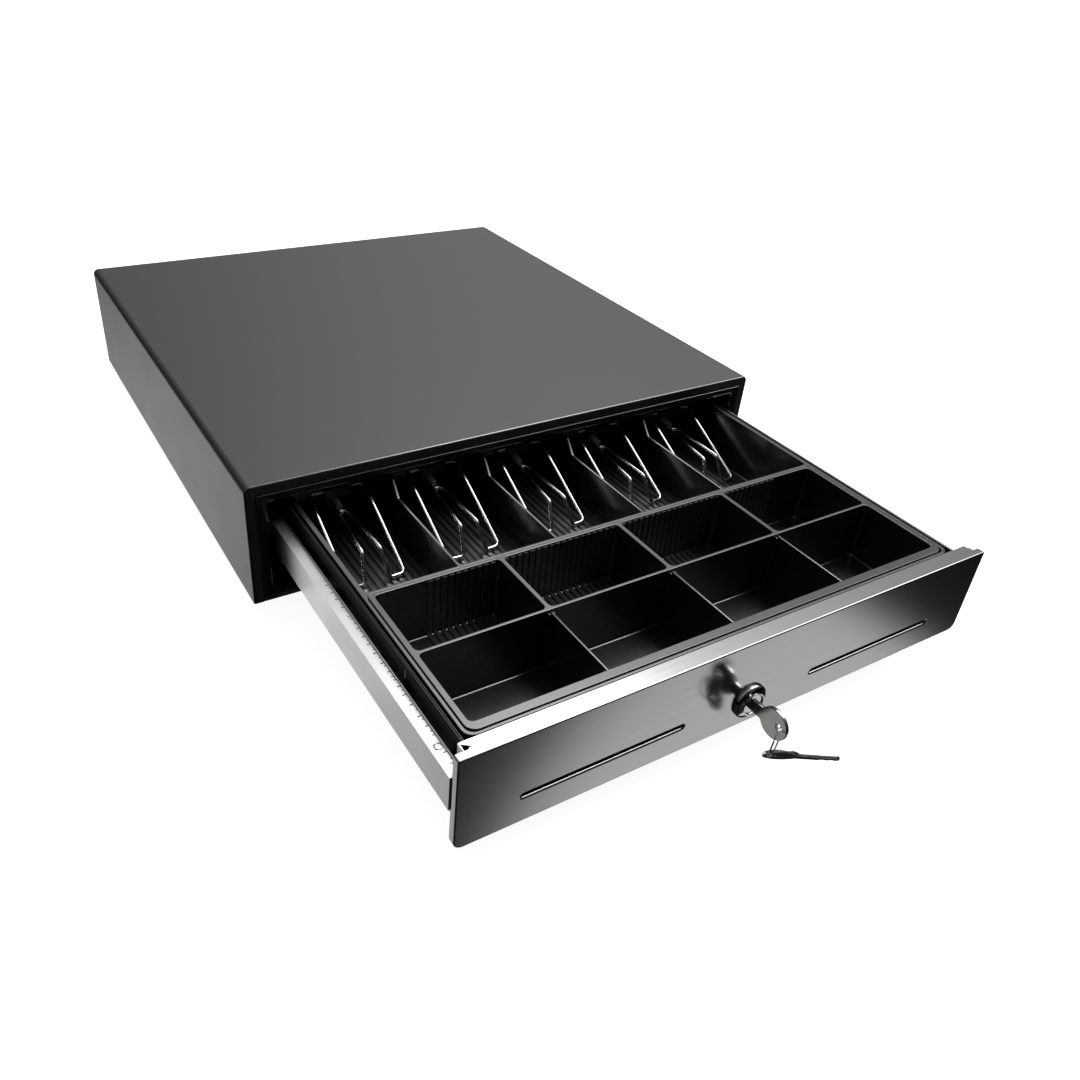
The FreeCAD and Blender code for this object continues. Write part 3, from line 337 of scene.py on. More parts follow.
# --------------------------------------------------------------------- materials
class Look:
    """A node material, built up from a few kinds of surface detail."""

    def __init__(self, name, colour, roughness, metallic=0.0, **settings):
        self.material = bpy.data.materials.new(name)
        self.material.use_nodes = True
        self.tree = self.material.node_tree
        self.shader = self.tree.nodes["Principled BSDF"]
        self.shader.inputs["Base Color"].default_value = (*colour, 1)
        self.shader.inputs["Roughness"].default_value = roughness
        self.shader.inputs["Metallic"].default_value = metallic
        for socket, value in settings.items():
            self.shader.inputs[socket.replace("_", " ")].default_value = value
        self.coordinates = self.tree.nodes.new("ShaderNodeTexCoord")
        self.bump = None

    def noise(self, scale, detail=2.0, stretch=(1, 1, 1), roughness=0.5):
        """A noise value over the piece; scale counts its features per metre."""
        mapping = self.tree.nodes.new("ShaderNodeMapping")
        mapping.inputs["Scale"].default_value = stretch
        texture = self.tree.nodes.new("ShaderNodeTexNoise")
        texture.inputs["Scale"].default_value = scale
        texture.inputs["Detail"].default_value = detail
        texture.inputs["Roughness"].default_value = roughness
        self.tree.links.new(self.coordinates.outputs["Object"], mapping.inputs["Vector"])
        self.tree.links.new(mapping.outputs["Vector"], texture.inputs["Vector"])
        return texture.outputs["Fac"]

    def ramp(self, source, low, high, start=0.3, end=0.7):
        """Goes from low to high as the source goes from start to end."""
        node = self.tree.nodes.new("ShaderNodeMapRange")
        node.inputs["From Min"].default_value = start
        node.inputs["From Max"].default_value = end
        node.inputs["To Min"].default_value = low
        node.inputs["To Max"].default_value = high
        self.tree.links.new(source, node.inputs["Value"])
        return node.outputs["Result"]

    def tint(self, source, dark, light):
        """Base colour between two shades, picked by a 0 to 1 value."""
        node = self.tree.nodes.new("ShaderNodeMix")
        node.data_type = "RGBA"
        node.inputs[6].default_value = (*dark, 1)
        node.inputs[7].default_value = (*light, 1)
        self.tree.links.new(source, node.inputs[0])
        self.tree.links.new(node.outputs[2], self.shader.inputs["Base Color"])

    def rough(self, source):
        """Takes the roughness from a value."""
        self.tree.links.new(source, self.shader.inputs["Roughness"])

    def add_bump(self, source, strength, distance):
        """Relief of a height in metres, on top of any earlier relief."""
        node = self.tree.nodes.new("ShaderNodeBump")
        node.inputs["Strength"].default_value = strength
        node.inputs["Distance"].default_value = distance
        self.tree.links.new(source, node.inputs["Height"])
        if self.bump:
            self.tree.links.new(self.bump, node.inputs["Normal"])
        self.bump = node.outputs["Normal"]
        self.tree.links.new(self.bump, self.shader.inputs["Normal"])


def grey(value):
    """A neutral colour."""
    return (value, value, value)


def shade(colour, factor):
    """A colour made darker or lighter."""
    return tuple(min(c * factor, 1) for c in colour)


def painted(name, colour, roughness, grain, shine=0.5):
    """Baked coating: fine orange-peel grain, tiny speckle, slow changes of gloss."""
    look = Look(name, colour, roughness, Specular_IOR_Level=shine)
    speckle = look.noise(2600, 1)
    look.tint(look.ramp(speckle, 0, 1, 0.35, 0.75), shade(colour, 0.8), shade(colour, 1.5))
    look.rough(look.ramp(look.noise(30, 3), roughness - 0.008, roughness + 0.012))
    look.add_bump(look.noise(900, 2), grain, 0.00016)
    return look.material


def brushed(name, colour, roughness, stretch, depth, cloud=0.02):
    """Metal with long fine scratches along one axis."""
    look = Look(name, colour, roughness, 1.0)
    lines = look.noise(1, 4, stretch, 0.65)
    look.tint(look.ramp(lines, 0, 1), shade(colour, 0.92), shade(colour, 1.06))
    look.rough(look.ramp(look.noise(25, 3), roughness - cloud, roughness + cloud))
    look.add_bump(lines, depth, 0.00001)
    return look.material


def plated(name, colour, roughness, marks=0.05):
    """Bright plating with faint handling marks."""
    look = Look(name, colour, roughness, 1.0)
    wear = look.noise(220, 4, (1, 1, 1), 0.6)
    look.rough(look.ramp(wear, roughness, roughness + marks))
    look.tint(look.ramp(look.noise(90, 2), 0, 1), shade(colour, 0.92), colour)
    look.add_bump(look.noise(700, 2), 0.05, 0.00003)
    return look.material


def moulded(name, colour, roughness, grain=0.06, sheen=0.0):
    """Moulded plastic: a fine spark-eroded grain that dulls the highlights."""
    look = Look(name, colour, roughness, Specular_IOR_Level=0.9,
                Coat_Weight=sheen, Coat_Roughness=0.24, Coat_IOR=1.6)
    look.tint(look.ramp(look.noise(60, 3), 0, 1), shade(colour, 0.85), shade(colour, 1.2))
    look.rough(look.ramp(look.noise(40, 2), roughness - 0.01, roughness + 0.02))
    look.add_bump(look.noise(2200, 1), grain, 0.00005)
    return look.material


RECIPES = {
    "powder_coat": (painted, (0.022, 0.022, 0.0225), 0.42, 0.6, 0.9),
    "bezel_black": (painted, grey(0.010), 0.17, 0.03, 0.85),
    "pan_paint": (painted, grey(0.006), 0.42, 0.1, 0.2),
    # painted highlight: a lighter metal for thin strips on the case's front bend and the bezel's edge, in
    # place of bright edge lines
    "worn_edge": (brushed, grey(0.22), 0.25, (30, 3000, 3000), 0.05),
    # painted shade: black for the crease beside the rail's bead and for its small notches
    "dull_black": (painted, grey(0.012), 0.7, 0.1, 0.05),
    "stainless_front": (brushed, (0.56, 0.56, 0.565), 0.14, (30, 3000, 3000), 0.08, 0.004),
    "rail_zinc": (brushed, grey(0.64), 0.28, (2500, 30, 2500), 0.1, 0.05),
    "zinc_plate": (plated, (0.60, 0.62, 0.64), 0.32, 0.12),
    "cage_steel": (brushed, grey(0.50), 0.35, (1500, 8, 1500), 0.15),
    "ball_steel": (plated, grey(0.70), 0.08),
    "clip_chrome": (plated, (0.78, 0.78, 0.79), 0.10),
    "lock_chrome": (plated, grey(0.72), 0.09),
    "key_nickel": (plated, (0.62, 0.61, 0.59), 0.16, 0.12),
    "spring_wire": (plated, grey(0.75), 0.16),
    "till_plastic": (moulded, (0.005, 0.005, 0.0052), 0.26, 0.02, 0.7),
    # painted light: the ribs are part of the same moulding, in a lighter grey for the light their tops
    # catch
    "worn_ribs": (moulded, grey(0.018), 0.3, 0.02, 0.7),
    "foot_rubber": (moulded, grey(0.016), 0.75, 0.5),
    "black_screw": (painted, grey(0.02), 0.4, 0.1),
    "socket_plastic": (moulded, grey(0.02), 0.3),
    "switch_plastic": (moulded, (0.12, 0.02, 0.02), 0.4),
    "coil_tape": (moulded, (0.50, 0.30, 0.05), 0.25, 0.1),
    "lead_vinyl": (moulded, grey(0.02), 0.35, 0.1),
}
LOOKS = {name: maker(name, *settings) for name, (maker, *settings) in RECIPES.items()}
for item in frame["record"]["subparts"]:
    materials = frame["nodes"][item["node"]].data.materials
    materials.clear()
    materials.append(LOOKS[item["material_slot"]])


# -------------------------------------------------------------------------- case
def arch(inset_by, bend=4.5, steps=6):
    """The case's section, an upside-down U with rounded shoulders, moved inwards."""
    half, top = CASE_HALF - inset_by, CASE_TOP - inset_by
    radius = max(bend - inset_by, 0.2)
    points = [(half, CASE_FOOT)]
    points += arc((half - radius, top - radius), radius, 0, 90, steps)
    points += arc((radius - half, top - radius), radius, 90, 180, steps)
    return points + [(-half, CASE_FOOT)]


def make_case_cover():
    """One folded sheet: sides and top, a lip turned in round the mouth, screw tabs behind; a lighter metal
    strip over the front bend paints a highlight line.
    """
    bend, lip, edge = 1.3, 7.0, 0.25
    front, back = -CASE_DEPTH, CASE_DEPTH
    course = [(0, back - edge), (edge, back), (SHEET - edge, back), (SHEET, back - edge),
              (SHEET, front + SHEET + 1), (SHEET + 1, front + SHEET), (lip - 0.2, front + SHEET),
              (lip, front + SHEET - 0.2), (lip, front + 0.3), (lip - 0.3, front)]
    course += [(inward, front + along) for along, inward in reversed(quarter(bend, 5))]
    bm = bmesh.new()
    add_skin(bm, [[(x, y, z) for x, z in arch(i)] for i, y in course])
    for side in (-1, 1):
        tab = rounded_rect(span(side, 184.0, WALL), (80, 95), 2)
        add_slab(bm, tab, 203.8, 205.0, 0.2, [circle((side * 192, 88), 1.6, 16)], facing)
    finish_piece("cover_shell", bm, CASE, "case", "powder_coat", ["case_cover"])
    # a thin strip over the front bend in a lighter metal: a painted highlight line
    bm = bmesh.new()
    band = arc((bend, bend), bend + 0.015, 205, 250, 5)
    add_skin(bm, [[(x, front + along, z) for x, z in arch(i)] for i, along in band],
             wrap=False, caps=False)
    finish_piece("cover_bend_highlight", bm, CASE, "case", "powder_coat", look="worn_edge")


def make_front_bezel():
    """A pressed frame behind the cover's lip, standing a little proud; a lighter metal wire round its edge
    paints a highlight line.
    """
    def ring(grow, x=197.8, low=15.2, high=92.8, corner=1.0):
        return rounded_rect((-x - grow, x + grow), (low - grow, high + grow), max(corner + grow, 0.2))

    def mouth(grow):
        return rounded_rect((-190.5 - grow, 190.5 + grow), (23 - grow, 86.6 + grow), 2.5 + grow)

    face, back, flange = -208.1, -206.3, -204.5
    course = [(ring(0), back), (ring(0), face + 0.7)]
    course += [(ring(-0.2), face + 0.2), (ring(-0.7), face)]
    course += [(mouth(2.4), face), (mouth(1.6), face + 0.15), (mouth(0.9), face + 0.5),
               (mouth(0.2), face + 1.3), (mouth(0), face + 2.2), (mouth(0), flange)]
    course += [(ring(3.6), flange), (ring(3.8), flange - 0.2), (ring(3.8), back)]
    bm = bmesh.new()
    add_skin(bm, [[(x, y, z) for x, z in loop] for loop, y in course], closed=True)
    finish_piece("bezel_frame", bm, CASE, "case", "bezel_black", ["front_bezel"], sharp=50)
    bm = bmesh.new()
    # a thin wire round the bezel's edge in the same lighter metal: a painted highlight line
    add_wire(bm, [(x, face + 0.25, z) for x, z in ring(-0.25)], 0.28, 8, True)
    finish_piece("bezel_edge", bm, CASE, "case", "bezel_black", look="worn_edge")


def make_base_pan():
    """The floor sheet with its turned-up edges and holes for the bolts and feet."""
    half, upstand, edge = 203.7, (13.0, 25.2), 0.3
    bm = bmesh.new()
    outline = rounded_rect((-half, half), (-206.3, 205.0), 0.4)
    holes = []
    for bolt, foot in zip(BOLT_SPOTS, FOOT_SPOTS):
        holes += [circle(bolt, 2.25, 20), circle(foot, 2.1, 20)]
    add_slab(bm, outline, CASE_FOOT, CASE_FOOT + SHEET, 0.25, holes)
    for side in (-1, 1):
        add_block(bm, span(side, half - SHEET, half), (-204.3, 203.8), upstand, edge)
    screws = [circle((192 * side, 19), 1.6, 16) for side in (-1, 1)]
    add_slab(bm, rounded_rect((-half, half), upstand, edge), 203.8, 205.0, 0.25, screws, facing)
    add_block(bm, (-197.8, 197.8), (-207.5, -206.2), (CASE_FOOT, 15), edge)
    finish_piece("base_sheet", bm, CASE, "case", "powder_coat", ["base_pan"])


def make_rear_panel():
    """The back sheet: louvres, the lead socket's cut-out and four screws."""
    back = 206.2
    louvres = [70 + 9 * i for i in range(9)]
    holes = [rounded_rect((JACK_X - 8.2, JACK_X + 8.2), (27.8, 44.2), 0.8)]
    holes += [circle(spot, 1.6, 16) for spot in REAR_SCREWS]
    holes += [rounded_rect((x, x + 3), (46, 70), 1.4) for x in louvres]
    outline = rounded_rect((-203.6, 203.6), (13.5, 98.6), [0.5, 4, 4, 0.5])
    bm = bmesh.new()
    add_slab(bm, outline, back - SHEET, back, 0.25, holes, facing)
    finish_piece("rear_sheet", bm, CASE, "case", "powder_coat", ["rear_panel"])
    bm = bmesh.new()
    for x, z in REAR_SCREWS:
        add_screw_head(bm, (x, back, z), 2.9, 1.15)
    finish_piece("rear_screw_heads", bm, CASE, "case", "black_screw", ["rear_screws"])
    bm = bmesh.new()
    add_jack(bm)
    finish_piece("lead_socket", bm, CASE, "case", "socket_plastic", ["cable_socket"])


def add_screw_head(bm, spot, radius, height):
    """A dished pan head with a raised cross, facing +Y, and its shank."""
    x, y, z = spot
    dome = [(1, 0), (1, 0.35), (0.85, 0.75), (0.55, 0.96), (0.5, 1), (0.34, 1), (0.2, 0.3)]
    rows = [(1.5, -7), (1.5, 0)] + [(radius * r, height * along) for r, along in dome]
    add_spindle(bm, rows, spot, 24)
    arm, half_width = radius * 0.5, 0.28
    top = (y + height - 0.1, y + height)
    for across, up in ((arm, half_width), (half_width, arm)):
        add_block(bm, (x - across, x + across), top, (z - up, z + up), 0.04, 1)


def add_jack(bm):
    """A modular jack: a shell round a stepped mouth with eight contacts."""
    shell = rounded_rect((JACK_X - 8, JACK_X + 8), (28, 44), 0.8)
    mouth = rounded_rect((JACK_X - 6, JACK_X + 6), (31, 41), 0.5)
    latch = rounded_rect((JACK_X - 3.5, JACK_X + 3.5), (29.3, 31.2), 0.3)
    add_slab(bm, shell, 193.5, 206.2, 0.3, [mouth], facing)
    add_slab(bm, shell, 190.0, 193.5, 0.3, [], facing)
    add_slab(bm, latch, 193.6, 206.25, 0.1, [], facing)
    for i in range(8):
        x = JACK_X - 4.2 + i * 1.2
        add_wire(bm, [(x, 194, 40), (x, 200, 36.8), (x, 204, 35.6)], 0.2, 6)


def make_feet():
    """Moulded rubber feet with a recessed screw."""
    bm = bmesh.new()
    profile = [(4.2, 6), (4.2, 0.5), (4.6, 0), (8.4, 0), (9.0, 0.6), (10.2, 8.2), (10.6, 8.6),
               (10.6, 9.4), (10.9, 9.9), (11, 12), (2.1, 12), (2.1, 6)]
    for x, y in FOOT_SPOTS:
        add_lathe(bm, profile, (x, y, 0), 40, "z")
    finish_piece("foot_mouldings", bm, CASE, "case", "foot_rubber", ["rubber_feet"])
    screw = [(0.9, 4.4), (1.0, 3.3), (2.6, 3.25), (3.3, 3.7), (3.6, 4.6), (3.6, 6), (1.9, 6), (1.9, 18)]
    bm = bmesh.new()
    for x, y in FOOT_SPOTS:
        add_spindle(bm, screw, (x, y, 0), 24, "z")
    finish_piece("foot_screw_heads", bm, CASE, "case", "zinc_plate", ["foot_screws"])


def make_case_rail(side, name):
    """The outer rail: a rolled channel with lips, and a guide arm behind the mouth."""
    def across(outline):
        """The outline on this side of the case, still anticlockwise."""
        points = [(side * x, z) for x, z in outline]
        return points if side < 0 else points[::-1]

    lip, top, low = 181.0, 76.0, 43.4
    outline = [(WALL, low - SHEET), (WALL, top + SHEET), (lip, top + SHEET), (lip, top - SHEET),
               (lip + SHEET, top - SHEET), (lip + SHEET, top), (WALL - SHEET, top),
               (WALL - SHEET, low), (lip + SHEET, low), (lip + SHEET, low + SHEET),
               (lip, low + SHEET), (lip, low - SHEET)]
    front, arm_front = -185, -203.5
    arm_low, arm_top, tip = 61, 71, 189.2
    bm = bmesh.new()
    add_slab(bm, across(outline), front, 150, 0.15, [], facing)
    arm = across([(WALL, arm_low), (WALL, arm_top), (WALL - SHEET, arm_top), (WALL - SHEET, arm_low)])
    add_slab(bm, arm, arm_front, front + 0.1, 0.2, [], facing)
    tab = across([(WALL - 0.1, arm_low), (WALL - 0.1, arm_top), (tip + 0.8, arm_top),
                  (tip, arm_top - 0.8), (tip, arm_low + 0.8), (tip + 0.8, arm_low)])
    add_slab(bm, tab, arm_front, arm_front + SHEET, 0.2, [], facing)
    finish_piece(f"{name}_outer_rail", bm, CASE, "case", "zinc_plate", [f"{name}_case_rail"])


# ------------------------------------------------------------------------ drawer
def make_drawer_front():
    """Stainless front: a shallow dished sheet with slots, and a ledge behind its top."""
    steel, depth, roll, bottom_edge = 1.0, 5.0, 0.8, 24.0
    slot_middle, slot_half = 99, 51.5

    def outline(shift):
        bottom = max(5.5 - shift, 0.4)
        top = max(1.2 - shift, 0.2)
        across, up = (shift - FRONT_HALF, FRONT_HALF - shift), (bottom_edge + shift, FRONT_TOP - shift)
        return rounded_rect(across, up, [bottom, top, top, bottom], 6)

    holes = [circle((0, LOCK_HEIGHT), 9.6, 40)]
    for middle in (-slot_middle, slot_middle):
        holes.append(rounded_rect((middle - slot_half, middle + slot_half), (41.5, 44.5), 1.45, 6))
    bm = bmesh.new()
    skin = [(0, depth - 0.2), (0, roll)] + quarter(roll, 4)[::-1][1:]
    outer = [add_loop(bm, outline(i), y, facing) for i, y in skin]
    inner = [add_loop(bm, outline(steel), y, facing) for y in (steel, depth - 0.2)]
    rim = add_loop(bm, outline(0.2), depth, facing)
    rim_in = add_loop(bm, outline(steel - 0.2), depth, facing)
    for first, second in zip([rim] + outer, outer):
        bridge(bm, first, second)
    bridge(bm, inner[0], inner[1])
    bridge(bm, inner[1], rim_in)
    bridge(bm, rim_in, rim)
    fronts, backs = [outer[-1]], [inner[0]]
    for hole in holes:
        rows = [(-1.1, 0), (-0.8, 0.08), (-0.4, 0.3), (-0.12, 0.65), (0, steel)]
        loops = [add_loop(bm, inset(hole, i), y, facing) for i, y in rows]
        for first, second in zip(loops, loops[1:]):
            bridge(bm, first, second)
        fronts.append(loops[0])
        backs.append(loops[-1])
    fill(bm, fronts)
    fill(bm, backs)
    ledge = [(-182, 0.95), (182, 0.95), (182, 7.4), (180.6, 7.9), (180.6, 10.5), (-181.4, 10.5),
             (-181.4, 9.2), (-177.4, 6.4), (-182, 3.4)]
    skirt = FRONT_TOP - 7.8
    add_slab(bm, ledge, FRONT_TOP - steel, FRONT_TOP + 0.005, 0.03, steps=1)
    add_block(bm, (-180, 180), (9.5, 10.5), (skirt, FRONT_TOP - 0.5), 0.3)
    add_block(bm, (-182.2, -181.6), (3.0, 10.5), (skirt, FRONT_TOP), 0.12)
    finish_piece("stainless_front", bm, DRAWER, "drawer", "stainless_front", ["drawer_front"])


def make_drawer_pan():
    """The folded drawer box, its edges hemmed, with an apron under the front, and chrome wires on its sides
    that paint the highlight of a lance in each wall.
    """
    def outline(shift):
        return rounded_rect((shift - PAN_HALF, PAN_HALF - shift), (PAN_FRONT + shift, PAN_BACK - shift),
                            max(1.6 - shift, 0.3))

    foot, top, hem = PAN_FOOT, PAN_TOP, PAN_TOP - 8
    rows = [(0.6, foot), (0.15, foot + 0.2), (0, foot + 0.7), (0, top - 0.6), (0.15, top - 0.2),
            (0.5, top), (0.85, top - 0.2), (1.0, top - 0.8), (1.15, top - 0.2), (1.5, top),
            (1.85, top - 0.2), (2, top - 0.6), (2, hem + 0.2), (1.7, hem), (1.05, hem),
            (1.0, hem - 0.2), (1.0, foot + 2.2), (1.3, foot + 1.4), (2.0, foot + 1)]
    bm = bmesh.new()
    loops = [add_loop(bm, outline(i), z, upright) for i, z in rows]
    for first, second in zip(loops, loops[1:]):
        bridge(bm, first, second)
    fill(bm, [loops[0]])
    fill(bm, [loops[-1]])
    back = PAN_FRONT + 0.1
    apron = [(-PAN_HALF, 1.0), (PAN_HALF, 1.0), (PAN_HALF, back), (24, back), (24, 5.6), (-10, 5.6),
             (-10, back), (-PAN_HALF, back)]
    add_slab(bm, apron, foot, foot + 1, 0.2)
    finish_piece("drawer_box", bm, DRAWER, "drawer", "pan_paint", ["drawer_pan"])
    bm = bmesh.new()
    for shift in (0.45, 1.55):
        add_wire(bm, [(x, y, top - 0.25) for x, y in outline(shift)], 0.3, 8, True)
    finish_piece("pan_hem_edges", bm, DRAWER, "drawer", "pan_paint", look="bezel_black")
    # chrome wires on the painted side walls: painted highlights in place of the light line at each lance
    bm = bmesh.new()
    for side in (-1, 1):
        add_wire(bm, [(side * (PAN_HALF + 0.15), 71.8, z) for z in (60, 64, 72, 79)], 0.45, 8)
    finish_piece("lance_highlight_wires", bm, DRAWER, "drawer", "clip_chrome")


def make_drawer_rail(side, name):
    """The drawer's own rail: a channel with a bead and an eyelet, and black strips on its ledge that paint
    shade: a line along the foot of the bead and a row of ticks for small notches.
    """
    outer, inner, top, low = 188.4, 180.4, 70.8, 48.6
    front, back, eyelet_y = 5.2, 339, 25
    bead = arc((inner + 0.75, top + 0.15), 0.75, 0, 180, 5)
    outline = [(outer, low), (outer, top)] + bead
    outline += [(inner, top - SHEET), (outer - SHEET, top - SHEET), (outer - SHEET, low + SHEET),
                (inner, low + SHEET), (inner, low)]
    points = [(side * x, z) for x, z in outline]
    bm = bmesh.new()
    add_slab(bm, points if side > 0 else points[::-1], front, back, 0.15, [], facing)
    add_block(bm, span(side, outer - 0.2, 198.0), (back - 3, back), (55, 65), 0.3)
    finish_piece(f"{name}_inner_rail", bm, DRAWER, "drawer", "rail_zinc", [f"{name}_drawer_rail"])
    bm = bmesh.new()
    eyelet = circle((side * 184.0, eyelet_y), 2.0, 24)
    add_wire(bm, [(x, y, top + 0.1) for x, y in eyelet], 0.45, 8, True)
    finish_piece(f"{name}_rail_eyelet", bm, DRAWER, "drawer", "rail_zinc")
    # black strips on the ledge: painted shade along the foot of the bead and in a row of small notches
    bm = bmesh.new()
    add_block(bm, span(side, inner + 1.55, inner + 1.85), (front + 0.2, back - 0.2),
              (top - 0.1, top + 0.06), 0.05, 1)
    for i in range(42):
        along = 8 + i * 3.9 + 0.7 * math.sin(i * 2.3)
        length = 0.7 + 1.5 * math.sin(i * 1.7) ** 2
        if abs(along - eyelet_y) > 3:
            add_block(bm, span(side, inner + 1.4, inner + 1.4 + length), (along, along + 0.65),
                      (top - 0.1, top + 0.17), 0.05, 1)
    finish_piece(f"{name}_rail_shade_marks", bm, DRAWER, "drawer", "rail_zinc", look="dull_black")


def add_ridge(bm, x, y, floor, height, width):
    """A low rib along Y with a flat top, rooted in the floor."""
    section = [(-0.5, 0), (-0.40, 1.0), (0.40, 1.0), (0.5, 0)]
    ends = [(y[0], 0.0), (y[0] + 0.05, 1.0), (y[1] - 0.05, 1.0), (y[1], 0.0)]
    rows = [[(x + u * width, along, floor - 0.3 + (v * height + 0.3) * rise) for u, v in section]
            for along, rise in ends]
    add_skin(bm, rows, closed=True, wrap=False)


def make_till_tray():
    """The moulded till: a well for the coin insert and five ribbed note bays."""
    bm = bmesh.new()
    pockets = [((-172.4, 172.4), (16.7, 133.9), 5.0, 38.8, 0.3, 1.0, 0.1),
               ((-171.2, 171.2), (135.9, 328), 2.5, TILL_FLOOR, 0.45, 1.5, 0.4)]
    outline = rounded_rect((-174.6, 174.6), (14.9, 331), 6.0)
    add_tray(bm, outline, PAN_TOP, PAN_FOOT + 1, pockets, 0.45)
    fence = [(135.0, 40.6), (329.0, 40.6), (329.0, 80.9), (241.0, 80.9)]
    fence += arc((241.0, 78.4), 2.5, 90, 140, 3)[1:]
    fence += [(231.8, 71.6), (229.5, 70.8), (135.0, 70.8)]
    for x in FENCES:
        add_slab(bm, fence, x - 1, x + 1, 0.45, [], sideways)
        add_block(bm, (x - 2.2, x + 2.2), (134.7, 137.8), (42, 70), 0.6)
    bar = [(256, 70.6), (257, 70), (263, 70), (264, 70.8), (264, 80), (263.2, 80.8),
           (256.8, 80.8), (256, 80)]
    add_slab(bm, bar, -171.5, 171.5, 0.1, [], sideways, 1)
    for centre in NOTE_CENTRES:
        block = [(247.2, 72.5), (248.2, 71.5), (256.3, 71.5), (256.3, 80.5), (249.5, 80.5), (247.2, 78.4)]
        hole = circle(AXLE, 1.34, 20)
        add_slab(bm, block, centre - 9, centre + 9, 0.3, [hole], sideways, 1)
    finish_piece("till_moulding", bm, DRAWER, "drawer", "till_plastic", ["till_tray"], sharp=35)
    # the note-floor ribs, in a lighter copy of the tray plastic: painted light on their tops
    bm = bmesh.new()
    pitch = 5.0
    for i in range(-33, 34):
        x = i * pitch
        if min(abs(x - fence_x) for fence_x in FENCES) > 2.4:
            add_ridge(bm, x, (137.0, 326.5), TILL_FLOOR, 0.95, 3.3)
    finish_piece("note_floor_ribs", bm, DRAWER, "drawer", "till_plastic", sharp=20, look="worn_ribs")


def make_coin_tray():
    """The lift-out coin insert: four ribbed bays, and a trough with loose dividers in front."""
    trough, rib_pitch = (23.1, 77.5), 4.6
    bm = bmesh.new()
    pockets = []
    for i, (left, right) in enumerate(zip(COLUMNS, COLUMNS[1:])):
        low = left + 1.5 if i else left
        high = right - 1.5 if i < 3 else right
        pockets.append(((low, high), (79.5, 131.2), 3.0, COIN_FLOOR, 0.4, 1.2, 0.5))
    pockets.append(((COLUMNS[0], COLUMNS[-1]), trough, 3.0, 40.9, 0.45, 1.2, 0.5))
    outline = rounded_rect((-171.9, 171.9), (17.4, 133.6), [6, 1.5, 1.5, 6], 5)
    add_tray(bm, outline, 81.3, 39.0, pockets, 0.4)
    finish_piece("coin_moulding", bm, DRAWER, "drawer", "till_plastic", ["coin_tray"], sharp=35)
    # the coin-bay ribs, in a lighter copy of the tray plastic: painted light on their tops
    bm = bmesh.new()
    for i in range(-29, 30):
        x = i * rib_pitch
        if min(abs(x - wall) for wall in COLUMNS[1:4]) > 3.4:
            add_ridge(bm, x, (80.4, 131.0), COIN_FLOOR, 0.95, 3.5)
            add_block(bm, (x - 1.7, x + 1.7), (130.3, 131.8), (41.2, 80.4), 0.3, 1)
    finish_piece("coin_bay_ribs", bm, DRAWER, "drawer", "till_plastic", sharp=20, look="worn_ribs")
    bm = bmesh.new()
    for x in COLUMNS[1:4]:
        plate = rounded_rect(trough, (41.0, 80.3), [0.5, 1.6, 1.6, 0.5])
        add_slab(bm, plate, x - 0.8, x + 0.8, 0.35, [], sideways)
        for y in (23.0, 75.6):
            for side in (-1, 1):
                add_block(bm, span(side, 0.95, 2.2, x), (y, y + 2.0), (41.5, 79.5), 0.4)
    finish_piece("coin_divider_plates", bm, DRAWER, "drawer", "till_plastic", ["coin_dividers"])


def clip_path():
    """A note clip's wire: half of it, from its axle end to the rear loop, then mirrored."""
    half = [(4, *AXLE), (19.25, *AXLE), (19.25, 188.5, 43.6), (8.5, 187.9, 43.6),
            (6.1, 197.7, 61.7), (3.2, 243, 63.5)]
    bends = [3, 4, 2, 5, 2.9]
    points = half + [(-x, y, z) for x, y, z in reversed(half)]
    return rounded_path(points, bends + bends[::-1])


def helix(start, end, radius, turns, per_turn=16):
    """Points of a coil between two points."""
    start, end = Vector(start), Vector(end)
    axis = (end - start).normalized()
    side = axis.orthogonal().normalized()
    other = axis.cross(side)
    count = int(turns * per_turn)
    coil = []
    for k in range(count + 1):
        angle = 2 * math.pi * k / per_turn
        middle = start.lerp(end, k / count)
        coil.append(middle + (side * math.cos(angle) + other * math.sin(angle)) * radius)
    return coil


def make_note_clips():
    """Five bent-wire clips, each pulled down by a small coil spring."""
    for number, centre in enumerate(NOTE_CENTRES, 1):
        bm = bmesh.new()
        add_wire(bm, [p + Vector((centre, 0, 0)) for p in clip_path()], 1.25, 14)
        finish_piece(f"clip_wire_{number}", bm, DRAWER, f"clip_{number}", "clip_chrome",
                     [f"note_clip_{number}"], sharp=60)
        bm = bmesh.new()
        start, end = Vector((centre, 245.4, 64.6)), Vector((centre, 257.6, 67.0))
        coil = helix(start, end, 1.95, 9)
        hook = [(centre, 240.8, 62.2), (centre, 241.6, 64.2), (centre, 243.6, 64.8)]
        add_wire(bm, [Vector(p) for p in hook] + coil[2:] + [Vector((centre, 258.6, 69.4))], 0.38, 8)
        spring = finish_piece(f"clip_coil_{number}", bm, DRAWER, None, "spring_wire", sharp=60)
        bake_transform(spring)
        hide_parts(f"clip_spring_{number}")


def make_case_spring(node, axis, wire, turns):
    """A coil that fills a CAD spring's box from end to end along one axis, tied to no body."""
    low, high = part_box(node)
    middle = (low + high) / 2
    ends = [middle.copy(), middle.copy()]
    ends[0][axis], ends[1][axis] = low[axis] + wire * MM, high[axis] - wire * MM
    radius = (high.z - low.z) / 2 / MM - wire
    bm = bmesh.new()
    add_wire(bm, helix(*((end - middle) / MM for end in ends), radius, turns, 24), wire, 8)
    coil = finish_piece(node.replace("spring", "coil"), bm, middle, None, "spring_wire", sharp=60)
    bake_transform(coil)
    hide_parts(node)


